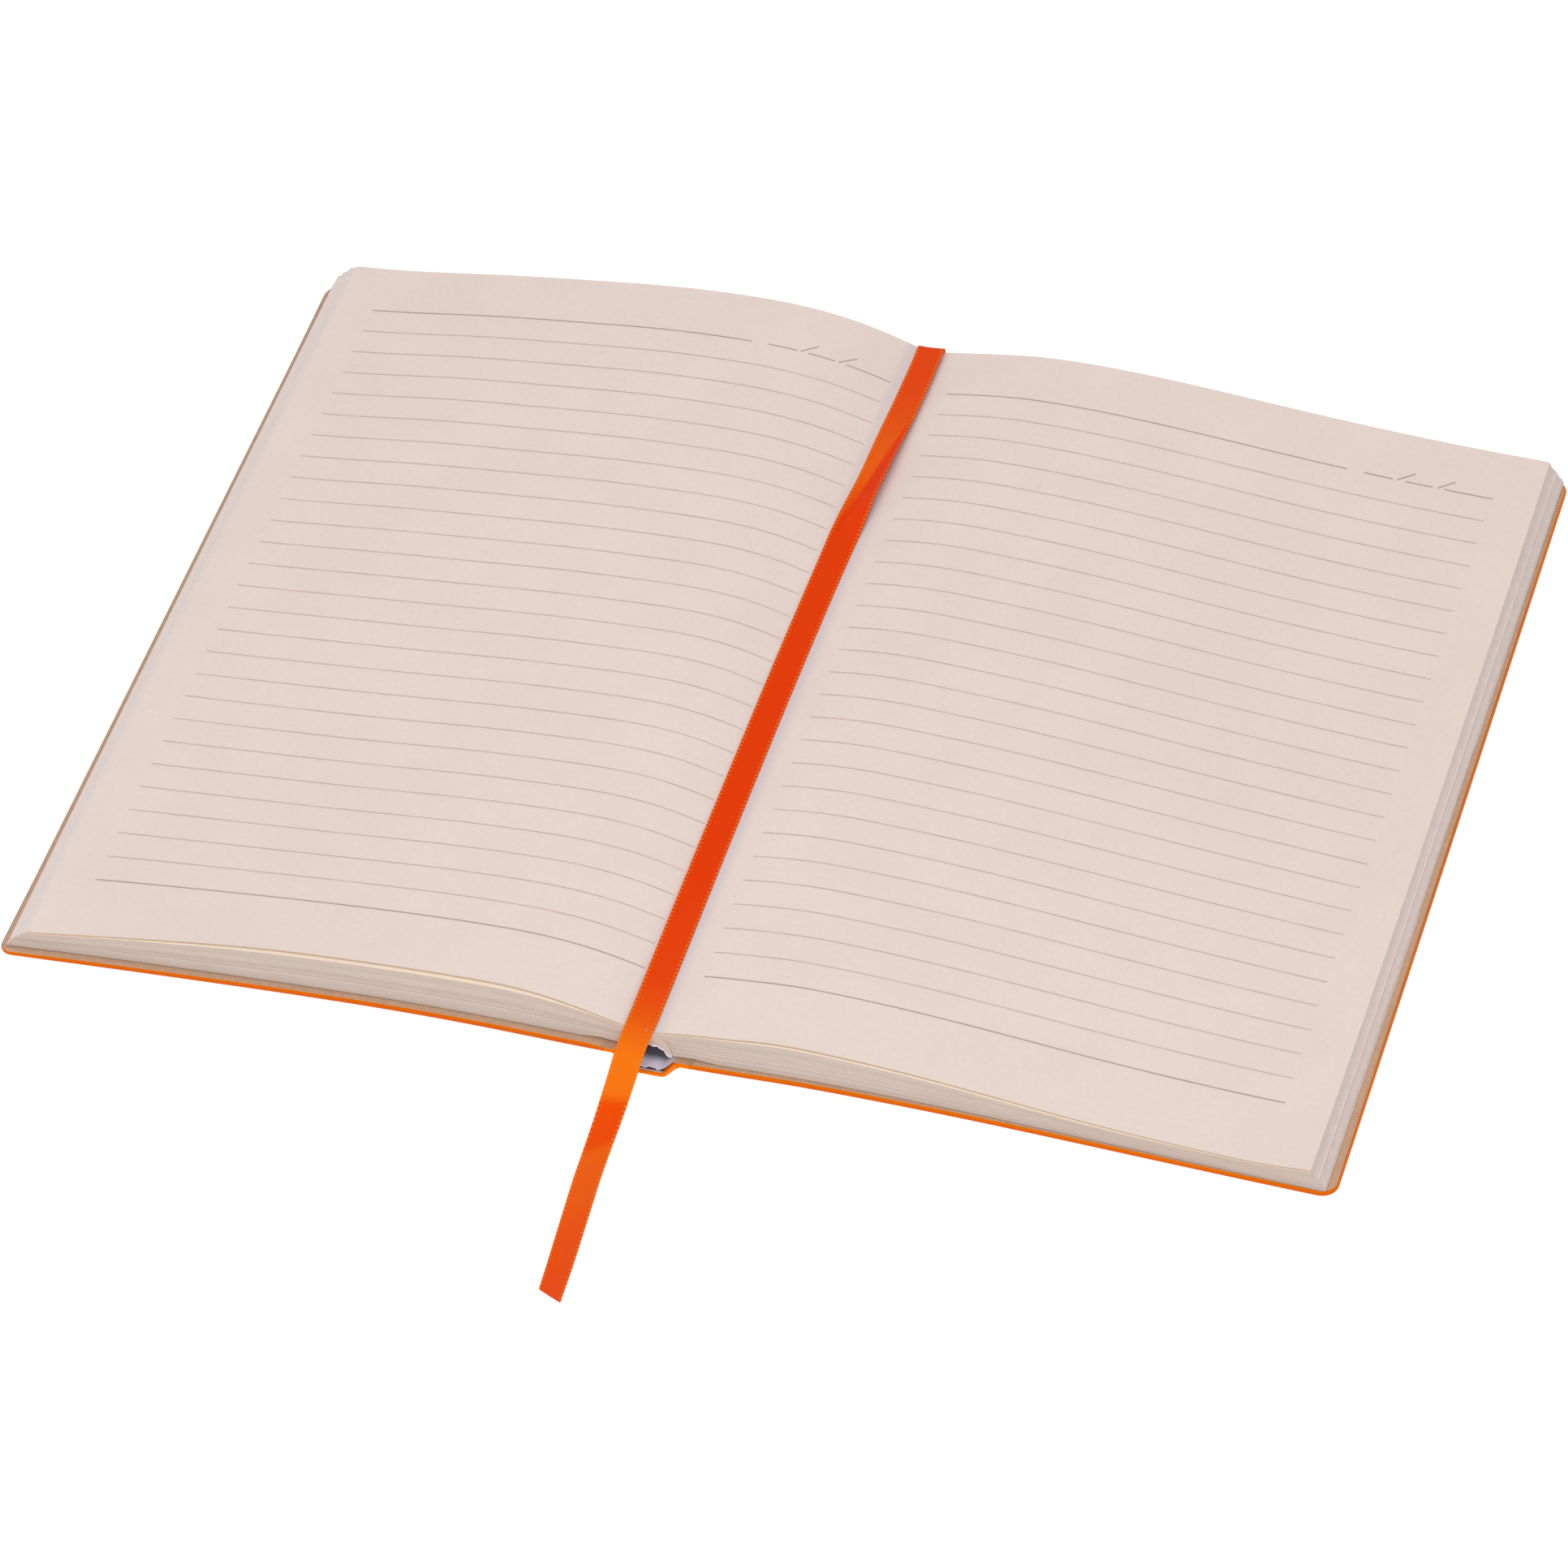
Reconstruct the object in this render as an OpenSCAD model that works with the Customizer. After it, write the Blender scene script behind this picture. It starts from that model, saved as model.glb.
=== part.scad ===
// Softcover notebook lying open near its middle, with a ribbon marker. Millimetres.
// X runs from the left page to the right page, Y from tail to head, Z up from the table.

/* [Covers] */
// Height of the covers, from tail to head
cover_height = 210; // [190:1:230]
// Reach of the left cover from the middle of the spine
left_reach = 137.8; // [132:0.2:146]
// Reach of the right cover from the middle of the spine
right_reach = 141.4; // [132:0.2:146]
// Radius of the cover corners
corner_radius = 4; // [2:0.5:8]
// Thickness of the cover material
skin = 0.8; // [0.6:0.1:1]
// Thickness of the card in the covers
board = 0.7; // [0.5:0.1:1]
// Thickness of the endpapers
endpaper = 0.2; // [0.15:0.05:0.3]
// Width of the cover material turned round the edge of the card
rim = 0.8; // [0.5:0.1:1.5]

/* [Rise of the covers] */
// Height of the underside of the left cover where it is highest
left_cover_crest = 5.4; // [4.6:0.1:6]
// Distance of that place from the middle of the spine
left_cover_crest_at = 40; // [30:1:60]
// Height of the underside of the right cover where it is highest
right_cover_crest = 4.7; // [4.2:0.1:6]
// Distance of that place from the middle of the spine
right_cover_crest_at = 34; // [30:1:60]
// Height of the underside of the left cover at its joint
left_joint_height = 4.9; // [4:0.1:5.2]
// Height of the underside of the right cover at its joint
right_joint_height = 4.1; // [4:0.1:5.2]

/* [Spine] */
// Distance of each joint from the middle of the spine
joint_at = 7.8; // [7.6:0.1:8.2]
// Half width of the flat floor of the spine
floor_half = 3.2; // [2.8:0.1:3.4]
// Thickness of the cover material on the spine floor, where it is turned in double
spine_depth = 1.1; // [0.8:0.1:1.3]
// Thickness of the card on the spine floor
spine_card_depth = 0.4; // [0.3:0.1:0.6]
// Thickness of the paper liner in the spine channel
liner = 0.25; // [0.2:0.05:0.3]

/* [Leaves] */
// Width of the cover that shows below the leaves at the tail
tail_margin = 1.1; // [0.4:0.1:3]
// Width of the cover that shows above the leaves at the head
head_margin = 0.5; // [0.4:0.1:3]
// Distance of the lowest left leaf's fore edge from the middle of the spine
left_leaf_reach = 136.8; // [125:0.2:137]
// Distance of the lowest right leaf's fore edge from the middle of the spine
right_leaf_reach = 139.6; // [125:0.2:140]
// How far the top left leaf is set back from the lowest one
left_setback = 5; // [3:0.2:7]
// How far the top right leaf is set back from the lowest one
right_setback = 3.6; // [3:0.2:7]
// Groups of leaves that show as steps at each fore edge
leaf_groups = 4; // [3:1:5]
// Height of the page in the gutter
gutter_height = 10.2; // [9.8:0.1:11]
// Greatest height of the left page
left_page_crest = 16.2; // [14:0.1:18]
// Distance of that place from the middle of the spine
left_page_crest_at = 35; // [28:1:42]
// Height of the left page at its fore edge
left_page_edge = 7.5; // [6.8:0.1:9]
// Greatest height of the right page
right_page_crest = 14.2; // [13:0.1:18]
// Distance of that place from the middle of the spine
right_page_crest_at = 27; // [22:1:36]
// Height of the right page at its fore edge
right_page_edge = 6.6; // [6.2:0.1:9]
// Height of the arch under the back of the leaves
arch_height = 8.3; // [7.6:0.1:8.6]
// Thickness of the lining glued under the arch
lining = 0.3; // [0.2:0.05:0.4]

/* [Ribbon] */
// Width of the ribbon marker
ribbon_width = 6; // [4:0.5:7]
// Thickness of the ribbon marker
ribbon_depth = 0.3; // [0.3:0.05:0.5]

/* [Hidden] */

// The front cover is on the left side of the spread, the back cover on the right.
FRONT = 0;
BACK = 1;
direction = [-1, 1];

reach = [left_reach, right_reach];
spine_x = (left_reach - right_reach) / 2;
half_height = cover_height / 2;

// Clearance between a cover and whatever it moves past.
clearance = 0.35;
cover_depth = skin + board;

// The card starts beyond the groove beside the joint, the flyleaf just inside it.
groove_width = 2.6;
board_from = joint_at + groove_width;
flyleaf_shift = 0.8;
endpaper_from = joint_at + flyleaf_shift;
pastedown_inset = 0.3;
card_inset = 0.3;

cover_crest = [left_cover_crest, right_cover_crest];
cover_crest_at = [left_cover_crest_at, right_cover_crest_at];
joint_height = [left_joint_height, right_joint_height];
cover_edge = [0, 0.4];
cover_edge_slope = [0.064, 0.04];
cover_steps = 22;

// The spine skin stops short of the rounded end of each cover skin.
spine_end = joint_at - skin / 2 - clearance;
wall_top = 0.1;
wall_run = spine_end - floor_half - wall_top;

// The inner face of each wall lies this much further in, and the liner further still.
wall_shift = 0.6;
wall_steps = 14;
liner_gap = 0.4;
liner_shift = wall_shift + liner_gap;
liner_share = 0.7;

tail = -half_height + tail_margin;
head = half_height - head_margin;
leaf_reach = [left_leaf_reach, right_leaf_reach];
setback = [left_setback, right_setback];
page_crest = [left_page_crest, right_page_crest];
page_crest_at = [left_page_crest_at, right_page_crest_at];
page_edge = [left_page_edge, right_page_edge];
page_edge_slope = [0.07, 0];
gutter_slope = [0.27, 0.2];
page_steps = 22;
gutter_steps = 9;
ledge_share = 0.45;
flyleaf_base = cover_depth + endpaper + clearance;
leaves_base = flyleaf_base + endpaper;

// The back of the leaves dips into the channel as a heel on each side of the arch.
heel_at = 5.2;
heel_drop = 1.1;
heel_steps = 6;
arch_steps = 8;

// Torn edges: a long and a short wave, and how far each one reaches.
tear_wave = [0.28, 0.16];
tear_turn = [95, 247];
tear_step = 0.5;
liner_tail_margin = 0.9;
lining_overhang = 0.4;
lining_tear_shift = 3;

// Cutting shapes reach past what they cut by this much.
excess = 1;
far_above = 30;
corner_steps = 48;
joint_round_steps = 24;

// Half a cosine wave from 0 to 1.
function ease(t) = (1 - cos(180 * t)) / 2;

// Height on a smooth curve of the given width between two heights with two slopes.
function bend(start, end, start_slope, end_slope, width, t) =
    start * (2 * t ^ 3 - 3 * t ^ 2 + 1)
    + end * (3 * t ^ 2 - 2 * t ^ 3)
    + start_slope * width * (t ^ 3 - 2 * t ^ 2 + t)
    + end_slope * width * (t ^ 3 - t ^ 2);

// Smooth underside of a cover at a distance from the middle of the spine.
function cover_curve(side, distance) =
    let (outer = reach[side] - cover_crest_at[side])
    let (inner = cover_crest_at[side] - joint_at)
    distance > cover_crest_at[side]
        ? bend(cover_edge[side], cover_crest[side], cover_edge_slope[side], 0,
            outer, (reach[side] - distance) / outer)
        : joint_height[side]
            + (cover_crest[side] - joint_height[side]) * ease((distance - joint_at) / inner);

// The same underside as short straight stretches, which all layers of a cover share.
stations = [for (side = [FRONT, BACK])
    [for (i = [0 : cover_steps]) joint_at + (reach[side] - joint_at) * i / cover_steps]];
base_line = [for (side = [FRONT, BACK])
    [for (distance = stations[side]) [distance, cover_curve(side, distance)]]];
function cover_base(side, distance) = lookup(distance, base_line[side]);
function between(side, from, to) =
    concat([from], [for (distance = stations[side]) if (distance > from && distance < to) distance],
        [to]);

// Top of the leaves at a distance from the middle of the spine.
function page_top(side, distance) =
    let (edge_at = leaf_reach[side] - setback[side])
    let (outer = edge_at - page_crest_at[side])
    let (inner = page_crest_at[side])
    distance > page_crest_at[side]
        ? bend(page_edge[side], page_crest[side], page_edge_slope[side], 0,
            outer, (edge_at - distance) / outer)
        : bend(gutter_height, page_crest[side], gutter_slope[side], 0,
            inner, distance / inner);

// Outline of a layer that follows a cover between two distances, from one height to another above it.
function layer(side, from, to, low, high) =
    let (places = between(side, from, to))
    concat(
        [for (place = places) [direction[side] * place, cover_base(side, place) + low]],
        [for (place = reversed(places))
            [direction[side] * place, cover_base(side, place) + high]]
    );

// One wall of the spine channel, from the flat floor up to the joint, moved inwards and upwards.
function wall_point(side, t, inwards, up) =
    [direction[side] * (floor_half + wall_run * t - inwards), joint_height[side] * ease(t) + up];
function wall_under(side) =
    concat(
        [for (i = [0 : wall_steps]) wall_point(side, i / wall_steps, 0, 0)],
        [[direction[side] * spine_end, joint_height[side]]]
    );
function wall_over(side) =
    concat(
        [for (i = [0 : wall_steps])
            let (t = i / wall_steps)
            wall_point(side, t, wall_shift, spine_depth + (skin - spine_depth) * ease(t))],
        [[direction[side] * spine_end, joint_height[side] + skin]]
    );

function reversed(list) = [for (i = [len(list) - 1 : -1 : 0]) list[i]];

// Fore edge of the leaves from the lowest leaf to the top leaf, as slanted groups with ledges.
function fore_edge(side) =
    let (low = cover_base(side, leaf_reach[side]) + leaves_base)
    let (high = page_edge[side])
    let (ledge = ledge_share * setback[side] / (leaf_groups - 1))
    let (lean = (1 - ledge_share) * setback[side] / leaf_groups)
    [for (i = [0 : leaf_groups - 1], upper = [0, 1])
        [direction[side] * (leaf_reach[side] - i * (lean + ledge) - upper * lean),
            low + (high - low) * (i + upper) / leaf_groups]];

// Top of one half of the leaves, from the fore edge to just before the gutter.
function half_top(side) =
    let (edge_at = leaf_reach[side] - setback[side])
    let (outer = edge_at - page_crest_at[side])
    concat(
        [for (i = [1 : page_steps])
            let (place = edge_at - outer * i / page_steps)
            [direction[side] * place, page_top(side, place)]],
        [for (i = [gutter_steps - 1 : -1 : 1])
            let (place = page_crest_at[side] * i / gutter_steps)
            [direction[side] * place, page_top(side, place)]]
    );

function heel_height(side) = joint_height[side] + heel_drop;

// Underside of one half of the leaves, from the fore edge to the foot of the arch.
function half_bottom(side) =
    let (start = endpaper_from)
    let (high = cover_base(side, start) + leaves_base)
    let (low = heel_height(side))
    concat(
        [for (place = reversed(between(side, start, leaf_reach[side])))
            if (place < leaf_reach[side])
                [direction[side] * place, cover_base(side, place) + leaves_base]],
        [for (i = [1 : heel_steps])
            let (place = start + (heel_at - start) * i / heel_steps)
            [direction[side] * place, high + (low - high) * ease(i / heel_steps)]]
    );

// Arch from the foot on one side up to its top, with a thickness taken off its inside.
function half_arch(side, inset) =
    [for (i = [0 : arch_steps])
        let (turn = 90 * i / arch_steps)
        [direction[side] * (heel_at - inset) * cos(turn),
            heel_height(side) + (arch_height - inset - heel_height(side)) * sin(turn)]];

function torn(place) =
    tear_wave[0] * sin(tear_turn[0] * place) + tear_wave[1] * sin(tear_turn[1] * place);

// Solid of an outline drawn across the spread, from one place to another along the spine.
module along_spine(from, to) {
    translate([0, to, 0])
    rotate([90, 0, 0])
    linear_extrude(to - from)
    children();
}

// Plan of a cover from the middle of the spine outwards, smaller by an inset all round.
module cover_plan(side, inset) {
    radius = corner_radius - inset;
    far = reach[side] - inset;
    wide = half_height - inset;
    mirror([side == FRONT ? 1 : 0, 0])
    union() {
        translate([0, -wide]) square([far - radius, 2 * wide]);
        translate([0, -wide + radius]) square([far, 2 * (wide - radius)]);
        for (end = [-1, 1])
            translate([far - radius, end * (wide - radius)]) circle(radius, $fn = corner_steps);
    }
}

// A layer of a cover, trimmed to the plan of the cover.
module trimmed_layer(side, from, to, low, high, inset) {
    intersection() {
        along_spine(-half_height, half_height) polygon(layer(side, from, to, low, high));
        linear_extrude(far_above) cover_plan(side, inset);
    }
}

// Cover material: one skin under the card, turned up round its edges, rounded at the joint.
module cover_skin(side) {
    joint_middle = cover_base(side, joint_at) + skin / 2;
    translate([spine_x, 0, 0])
    union() {
        difference() {
            trimmed_layer(side, joint_at, reach[side], 0, cover_depth, 0);
            intersection() {
                along_spine(-half_height - excess, half_height + excess)
                    polygon(layer(side, joint_at - excess, reach[side], skin, cover_depth + excess));
                linear_extrude(far_above) {
                    cover_plan(side, rim);
                    mirror([side == FRONT ? 1 : 0, 0])
                        translate([0, -half_height - excess])
                        square([board_from, cover_height + 2 * excess]);
                }
            }
        }
        translate([direction[side] * joint_at, 0, joint_middle])
            along_spine(-half_height, half_height)
            circle(skin / 2, $fn = joint_round_steps);
    }
}

module cover_board(side) {
    translate([spine_x, 0, 0])
        trimmed_layer(side, board_from, reach[side], skin, cover_depth, rim);
}

module pastedown(side) {
    translate([spine_x, 0, 0])
        trimmed_layer(side, board_from, reach[side], cover_depth, cover_depth + endpaper,
            pastedown_inset);
}

module flyleaf(side) {
    translate([spine_x, 0, 0])
        along_spine(tail, head)
        polygon(layer(side, endpaper_from, leaf_reach[side], flyleaf_base, leaves_base));
}

// All leaves as one solid, open at the gutter and arched at the back.
module leaves() {
    translate([spine_x, 0, 0])
        along_spine(tail, head)
        polygon(concat(
            fore_edge(FRONT), half_top(FRONT), [[0, gutter_height]], reversed(half_top(BACK)),
            reversed(fore_edge(BACK)), half_bottom(BACK), half_arch(BACK, 0),
            reversed(half_arch(FRONT, 0)), reversed(half_bottom(FRONT))
        ));
}

// Thin lining glued under the arch, a little longer than the leaves and torn at the tail.
module arch_lining() {
    width = heel_at + excess;
    translate([spine_x, 0, 0])
    intersection() {
        along_spine(tail - 2 * excess, head)
            polygon(concat(
                half_arch(BACK, 0), reversed(half_arch(FRONT, 0)),
                half_arch(FRONT, lining), reversed(half_arch(BACK, lining))
            ));
        linear_extrude(far_above)
            polygon(concat(
                [[-width, head], [width, head]],
                [for (place = [width : -tear_step : -width])
                    [place, tail - lining_overhang + torn(place + lining_tear_shift)]]
            ));
    }
}

module channel_skin() {
    translate([spine_x, 0, 0])
        along_spine(-half_height, half_height)
        polygon(concat(
            reversed(wall_under(FRONT)), wall_under(BACK),
            reversed(wall_over(BACK)), wall_over(FRONT)
        ));
}

module channel_card() {
    half_width = floor_half - liner_shift;
    translate([spine_x - half_width, -half_height + card_inset, spine_depth])
        cube([2 * half_width, cover_height - 2 * card_inset, spine_card_depth]);
}

// Paper liner of the channel, torn along the tail edge.
module channel_liner() {
    width = spine_end;
    sides = [for (side = [FRONT, BACK])
        [for (i = [0 : wall_steps])
            wall_point(side, liner_share * i / wall_steps, liner_shift,
                spine_depth + spine_card_depth)]];
    rise = [0, liner];
    translate([spine_x, 0, 0])
    intersection() {
        along_spine(-half_height, half_height - liner_tail_margin)
            polygon(concat(
                reversed(sides[FRONT]), sides[BACK],
                reversed([for (point = sides[BACK]) point + rise]),
                [for (point = sides[FRONT]) point + rise]
            ));
        linear_extrude(far_above)
            polygon(concat(
                [[-width, half_height], [width, half_height]],
                [for (place = [width : -tear_step : -width])
                    [place, -half_height + liner_tail_margin + torn(place)]]
            ));
    }
}

// Middle line of the ribbon from the middle of the spine: place, height and sideways tilt.
// It leaves the head of the leaves, lies in the gutter and runs out over the tail onto the table.
// The places are for covers 210 high, and stretch with them.
route_height = 210;
ribbon_route = [
    [0.0, 104.9, 8.4, 0],
    [0.0, 104.9, 10.8, 2],
    [0.0, 104.1, 11.7, 4],
    [0.1, 99, 11.9, 5],
    [0.0, 86, 12.3, 3],
    [-0.4, 74, 12.7, 10],
    [-0.7, 62, 12.9, 16],
    [-1.1, 54, 12.8, 14],
    [-1.4, 46, 12.5, -3],
    [-1.6, 36, 12.3, -13],
    [-1.8, 0, 12.3, -15],
    [-1.7, -50, 12.0, -11],
    [-1.5, -84, 11.7, -8],
    [-1.4, -99, 11.6, -7],
    [-1.5, -104.6, 11.4, -5],
    [-1.8, -109, 10.2, 0],
    [-2.3, -115, 6.8, 6],
    [-2.9, -121, 3.3, 10],
    [-3.2, -128, 1.2, 13],
    [-2.9, -136, 0.9, 14],
    [-2.0, -148, 0.9, 15],
    [-1.2, -158, 1.1, 17],
    [-0.7, -166, 1.2, 20]
];
ribbon_steps = 4;

// A smooth curve through the points of a route.
function route_point(route, index, t) =
    let (last = len(route) - 1)
    let (before = route[max(index - 1, 0)])
    let (here = route[index])
    let (next = route[min(index + 1, last)])
    let (after = route[min(index + 2, last)])
    0.5 * (2 * here + (next - before) * t
        + (2 * before - 5 * here + 4 * next - after) * t ^ 2
        + (3 * here - before - 3 * next + after) * t ^ 3);

function route_points(route, steps) =
    concat(
        [for (index = [0 : len(route) - 2], step = [0 : steps - 1])
            route_point(route, index, step / steps)],
        [route[len(route) - 1]]
    );

function place(point) = [point[0], point[1], point[2]];
function unit(vector) = vector / norm(vector);

// Four corners of the ribbon at one place on its route.
function ribbon_corners(points, index) =
    let (before = points[max(index - 1, 0)])
    let (after = points[min(index + 1, len(points) - 1)])
    let (ahead = unit(place(after) - place(before)))
    let (lean = points[index][3])
    let (flat = [cos(lean), 0, sin(lean)])
    let (across = unit(flat - (flat * ahead) * ahead) * ribbon_width / 2)
    let (through = unit(cross(across, ahead)) * ribbon_depth / 2)
    let (middle = place(points[index]))
    [middle - across - through, middle + across - through,
        middle + across + through, middle - across + through];

module ribbon() {
    stretch = cover_height / route_height;
    route = [for (point = ribbon_route) [point[0], point[1] * stretch, point[2], point[3]]];
    points = route_points(route, ribbon_steps);
    last = len(points) - 1;
    corners = [for (i = [0 : last]) each ribbon_corners(points, i)];
    sides = [for (i = [0 : last - 1], k = [0 : 3])
        let (here = 4 * i + k)
        let (beside = 4 * i + (k + 1) % 4)
        each [[here, beside, beside + 4], [here, beside + 4, here + 4]]];
    translate([spine_x, 0, 0])
        polyhedron(corners, concat(
            [[3, 2, 1, 0]], sides, [[4 * last, 4 * last + 1, 4 * last + 2, 4 * last + 3]]));
}

module text_block() { color("linen") leaves(); }
module front_flyleaf() { color("tan") flyleaf(FRONT); }
module back_flyleaf() { color("tan") flyleaf(BACK); }
module front_pastedown() { color("tan") pastedown(FRONT); }
module back_pastedown() { color("tan") pastedown(BACK); }
module front_board() { color("gray") cover_board(FRONT); }
module back_board() { color("gray") cover_board(BACK); }
module front_cover_skin() { color("darkorange") cover_skin(FRONT); }
module back_cover_skin() { color("darkorange") cover_skin(BACK); }
module spine_skin() { color("darkorange") channel_skin(); }
module spine_card() { color("gray") channel_card(); }
module spine_liner() { color("lavender") channel_liner(); }
module spine_lining() { color("whitesmoke") arch_lining(); }
module ribbon_marker() { color("orangered") ribbon(); }

text_block();
front_flyleaf();
back_flyleaf();
front_pastedown();
back_pastedown();
front_board();
back_board();
front_cover_skin();
back_cover_skin();
spine_skin();
spine_card();
spine_liner();
spine_lining();
ribbon_marker();
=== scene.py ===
"""Looks of a softcover notebook that lies open near its middle, with a ribbon marker in the gutter.

Shapes are worked out in millimetres, as distances from the middle of the spine, and turned into metres
when a mesh is made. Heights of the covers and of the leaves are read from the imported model.
"""

import math
import random

import bpy
import numpy as np
from mathutils import Matrix, Vector
from mathutils.bvhtree import BVHTree


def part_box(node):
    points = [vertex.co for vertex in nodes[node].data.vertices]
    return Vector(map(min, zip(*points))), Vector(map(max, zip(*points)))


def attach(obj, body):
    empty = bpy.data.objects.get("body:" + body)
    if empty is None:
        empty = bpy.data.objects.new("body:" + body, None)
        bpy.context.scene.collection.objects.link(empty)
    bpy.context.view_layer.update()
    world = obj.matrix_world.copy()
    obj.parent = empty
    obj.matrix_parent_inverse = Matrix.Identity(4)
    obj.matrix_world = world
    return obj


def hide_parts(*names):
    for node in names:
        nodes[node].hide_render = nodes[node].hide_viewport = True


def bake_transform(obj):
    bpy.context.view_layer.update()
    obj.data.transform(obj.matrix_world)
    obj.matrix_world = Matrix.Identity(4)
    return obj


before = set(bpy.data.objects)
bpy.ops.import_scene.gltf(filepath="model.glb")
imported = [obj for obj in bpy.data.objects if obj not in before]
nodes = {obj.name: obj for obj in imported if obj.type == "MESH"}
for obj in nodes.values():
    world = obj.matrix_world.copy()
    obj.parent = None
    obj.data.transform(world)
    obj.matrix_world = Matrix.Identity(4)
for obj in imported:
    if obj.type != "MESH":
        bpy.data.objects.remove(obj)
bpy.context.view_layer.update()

MM = 0.001
IMAGE_SIDE = 1932
rng = random.Random(7)

# The photograph's camera, found from the 27 ruled lines of both pages.
CAMERA_AZIMUTH = 19.16
CAMERA_ELEVATION = 44.93
CAMERA_ROLL = 3.67
CAMERA_PLACE = (406.5, -1185.6, 1231.3)
FOCAL_PIXELS = 10400
SENSOR = 36

LEFT = 0
RIGHT = 1
SIDES = (LEFT, RIGHT)
DIRECTION = (-1, 1)
SIDE_NAME = ("left", "right")
COVER_BODY = ("front_cover", "back_cover")
COVER_NODE = ("front_cover_skin", "back_cover_skin")
PASTEDOWN_NODE = ("front_pastedown", "back_pastedown")
FLYLEAF_NODE = ("front_flyleaf", "back_flyleaf")
BOARD_NODE = ("front_board", "back_board")


def node_box(node):
    """Lowest and highest corner of a CAD node, in millimetres."""
    low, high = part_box(node)
    return low / MM, high / MM


# Driving sizes, from the frame.
spine_low, spine_high = node_box("spine_skin")
spine_x = (spine_low.x + spine_high.x) / 2
block_low, block_high = node_box("text_block")
cover_low = [node_box(node)[0] for node in COVER_NODE]
cover_high = [node_box(node)[1] for node in COVER_NODE]
half_height = cover_high[LEFT].y
reach = (spine_x - cover_low[LEFT].x, cover_high[RIGHT].x - spine_x)
leaf_reach = (spine_x - block_low.x, block_high.x - spine_x)
tail = block_low.y
head = block_high.y

# Sizes that the frame's boxes don't give, as in the part's source.
joint_at = 7.8
heel_at = 5.2
setback = (5.5, 3.1)

# The leaves of each side lie in groups that step back, given from the lowest group up:
# share of the pile's height up to the group's top, and how far it steps back.
FORE_GROUPS = (
    ((0.35, 1.0), (0.575, 1.3), (0.86, 1.7), (1.0, 1.5)),
    ((0.15, 0.4), (0.515, 1.1), (1.0, 1.6)),
)

# How much further out the lowest leaf reaches than in the solid, and how much wider the steps get
# towards the head.
LEAF_REACH_SHIFT = (0.4, -0.2)
FORE_SKEW = (0.09, 0.0)

# Long swells of the two pages over the section of the solid, in millimetres:
# height, distance from the spine, place along it, and how far the swell spreads in both directions.
PAGE_SWELLS = (
    (
        (2.0, 50, 117, 40, 78),
        (-1.4, 76, -55, 34, 79),
        (-1.3, 4, -97, 30, 91),
        (-1.2, 0, 120, 11, 25),
        (0.9, 96, 72, 20, 62),
        (1.7, 83, -124, 27, 41),
        (2.3, 13, -12, 17, 107),
        (-1.5, 137, -108, 16, 35),
    ),
    (
        (-1.1, 13, 120, 16, 42),
        (2.2, 117, 132, 83, 56),
        (-0.7, 131, -19, 16, 56),
        (-0.8, 18, -119, 9, 41),
        (-0.9, 89, -115, 27, 32),
        (-0.7, 85, 78, 35, 89),
        (1.4, 5, 1, 18, 97),
        (1.0, 139, -108, 9, 22),
    ),
)

# How far the corners of the covers stand off the table, at the tail and at the head.
CORNER_LIFT = ((0.0, 0.0), (0.6, 1.0))

# Ruled lines.
LINE_COUNT = 27
LINE_PITCH = 6.847
MIDDLE_LINE_Y = 1.73
LINE_WIDTH = 0.26
BOLD_LINE_WIDTH = 0.32
LINE_LIFT = 0.03
STRIP_STEP = 1.6
LINE_ENDS = ((-124.8, -7.1), (5.4, 125.05))
FIRST_LINE_END = (-37.8, 93.6)
DATE_DASHES = (
    ((-34.1, -27.6), (-25.2, -19.3), (-16.8, -7.0)),
    ((97.3, 103.6), (106.3, 112.2), (114.8, 125.3)),
)
DATE_SLASHES = ((-26.9, -18.4), (104.6, 113.3))
SLASH_SIZE = (3.3, 2.8)


def ease(t):
    """A soft step from 0 to 1."""
    return (1 - math.cos(math.pi * min(max(t, 0), 1))) / 2


def to_metres(point):
    """A point given as distance from the spine with its sign, place along it and height."""
    return ((point[0] + spine_x) * MM, point[1] * MM, point[2] * MM)


def make_piece(name, points, faces, material, body=None):
    """A mesh piece from points in millimetres round the middle of the spine."""
    mesh = bpy.data.meshes.new(name)
    mesh.from_pydata([to_metres(p) for p in points], [], faces)
    mesh.polygons.foreach_set("use_smooth", [True] * len(mesh.polygons))
    mesh.materials.append(material)
    mesh.update()
    piece = bpy.data.objects.new(name, mesh)
    bpy.context.scene.collection.objects.link(piece)
    if body:
        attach(piece, body)
    return piece


def sharpen(piece, degrees):
    """Edges that turn by more than an angle stay crisp."""
    piece.data.set_sharp_from_angle(angle=math.radians(degrees))


def make_camera():
    """The photograph's camera."""
    azimuth = math.radians(CAMERA_AZIMUTH)
    elevation = math.radians(CAMERA_ELEVATION)
    roll = math.radians(CAMERA_ROLL)
    back = Vector((
        math.sin(azimuth) * math.cos(elevation),
        -math.cos(azimuth) * math.cos(elevation),
        math.sin(elevation),
    ))
    level = Vector((math.cos(azimuth), math.sin(azimuth), 0))
    upright = back.cross(level)
    right = level * math.cos(roll) - upright * math.sin(roll)
    up = back.cross(right)
    lens = bpy.data.cameras.new("camera")
    lens.sensor_width = SENSOR
    lens.lens = SENSOR * FOCAL_PIXELS / IMAGE_SIDE
    lens.clip_end = 20
    camera = bpy.data.objects.new("camera", lens)
    turn = Matrix((right, up, back)).transposed().to_4x4()
    camera.matrix_world = Matrix.Translation(Vector(CAMERA_PLACE) * MM) @ turn
    bpy.context.scene.collection.objects.link(camera)
    bpy.context.scene.camera = camera


# Materials.


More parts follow.
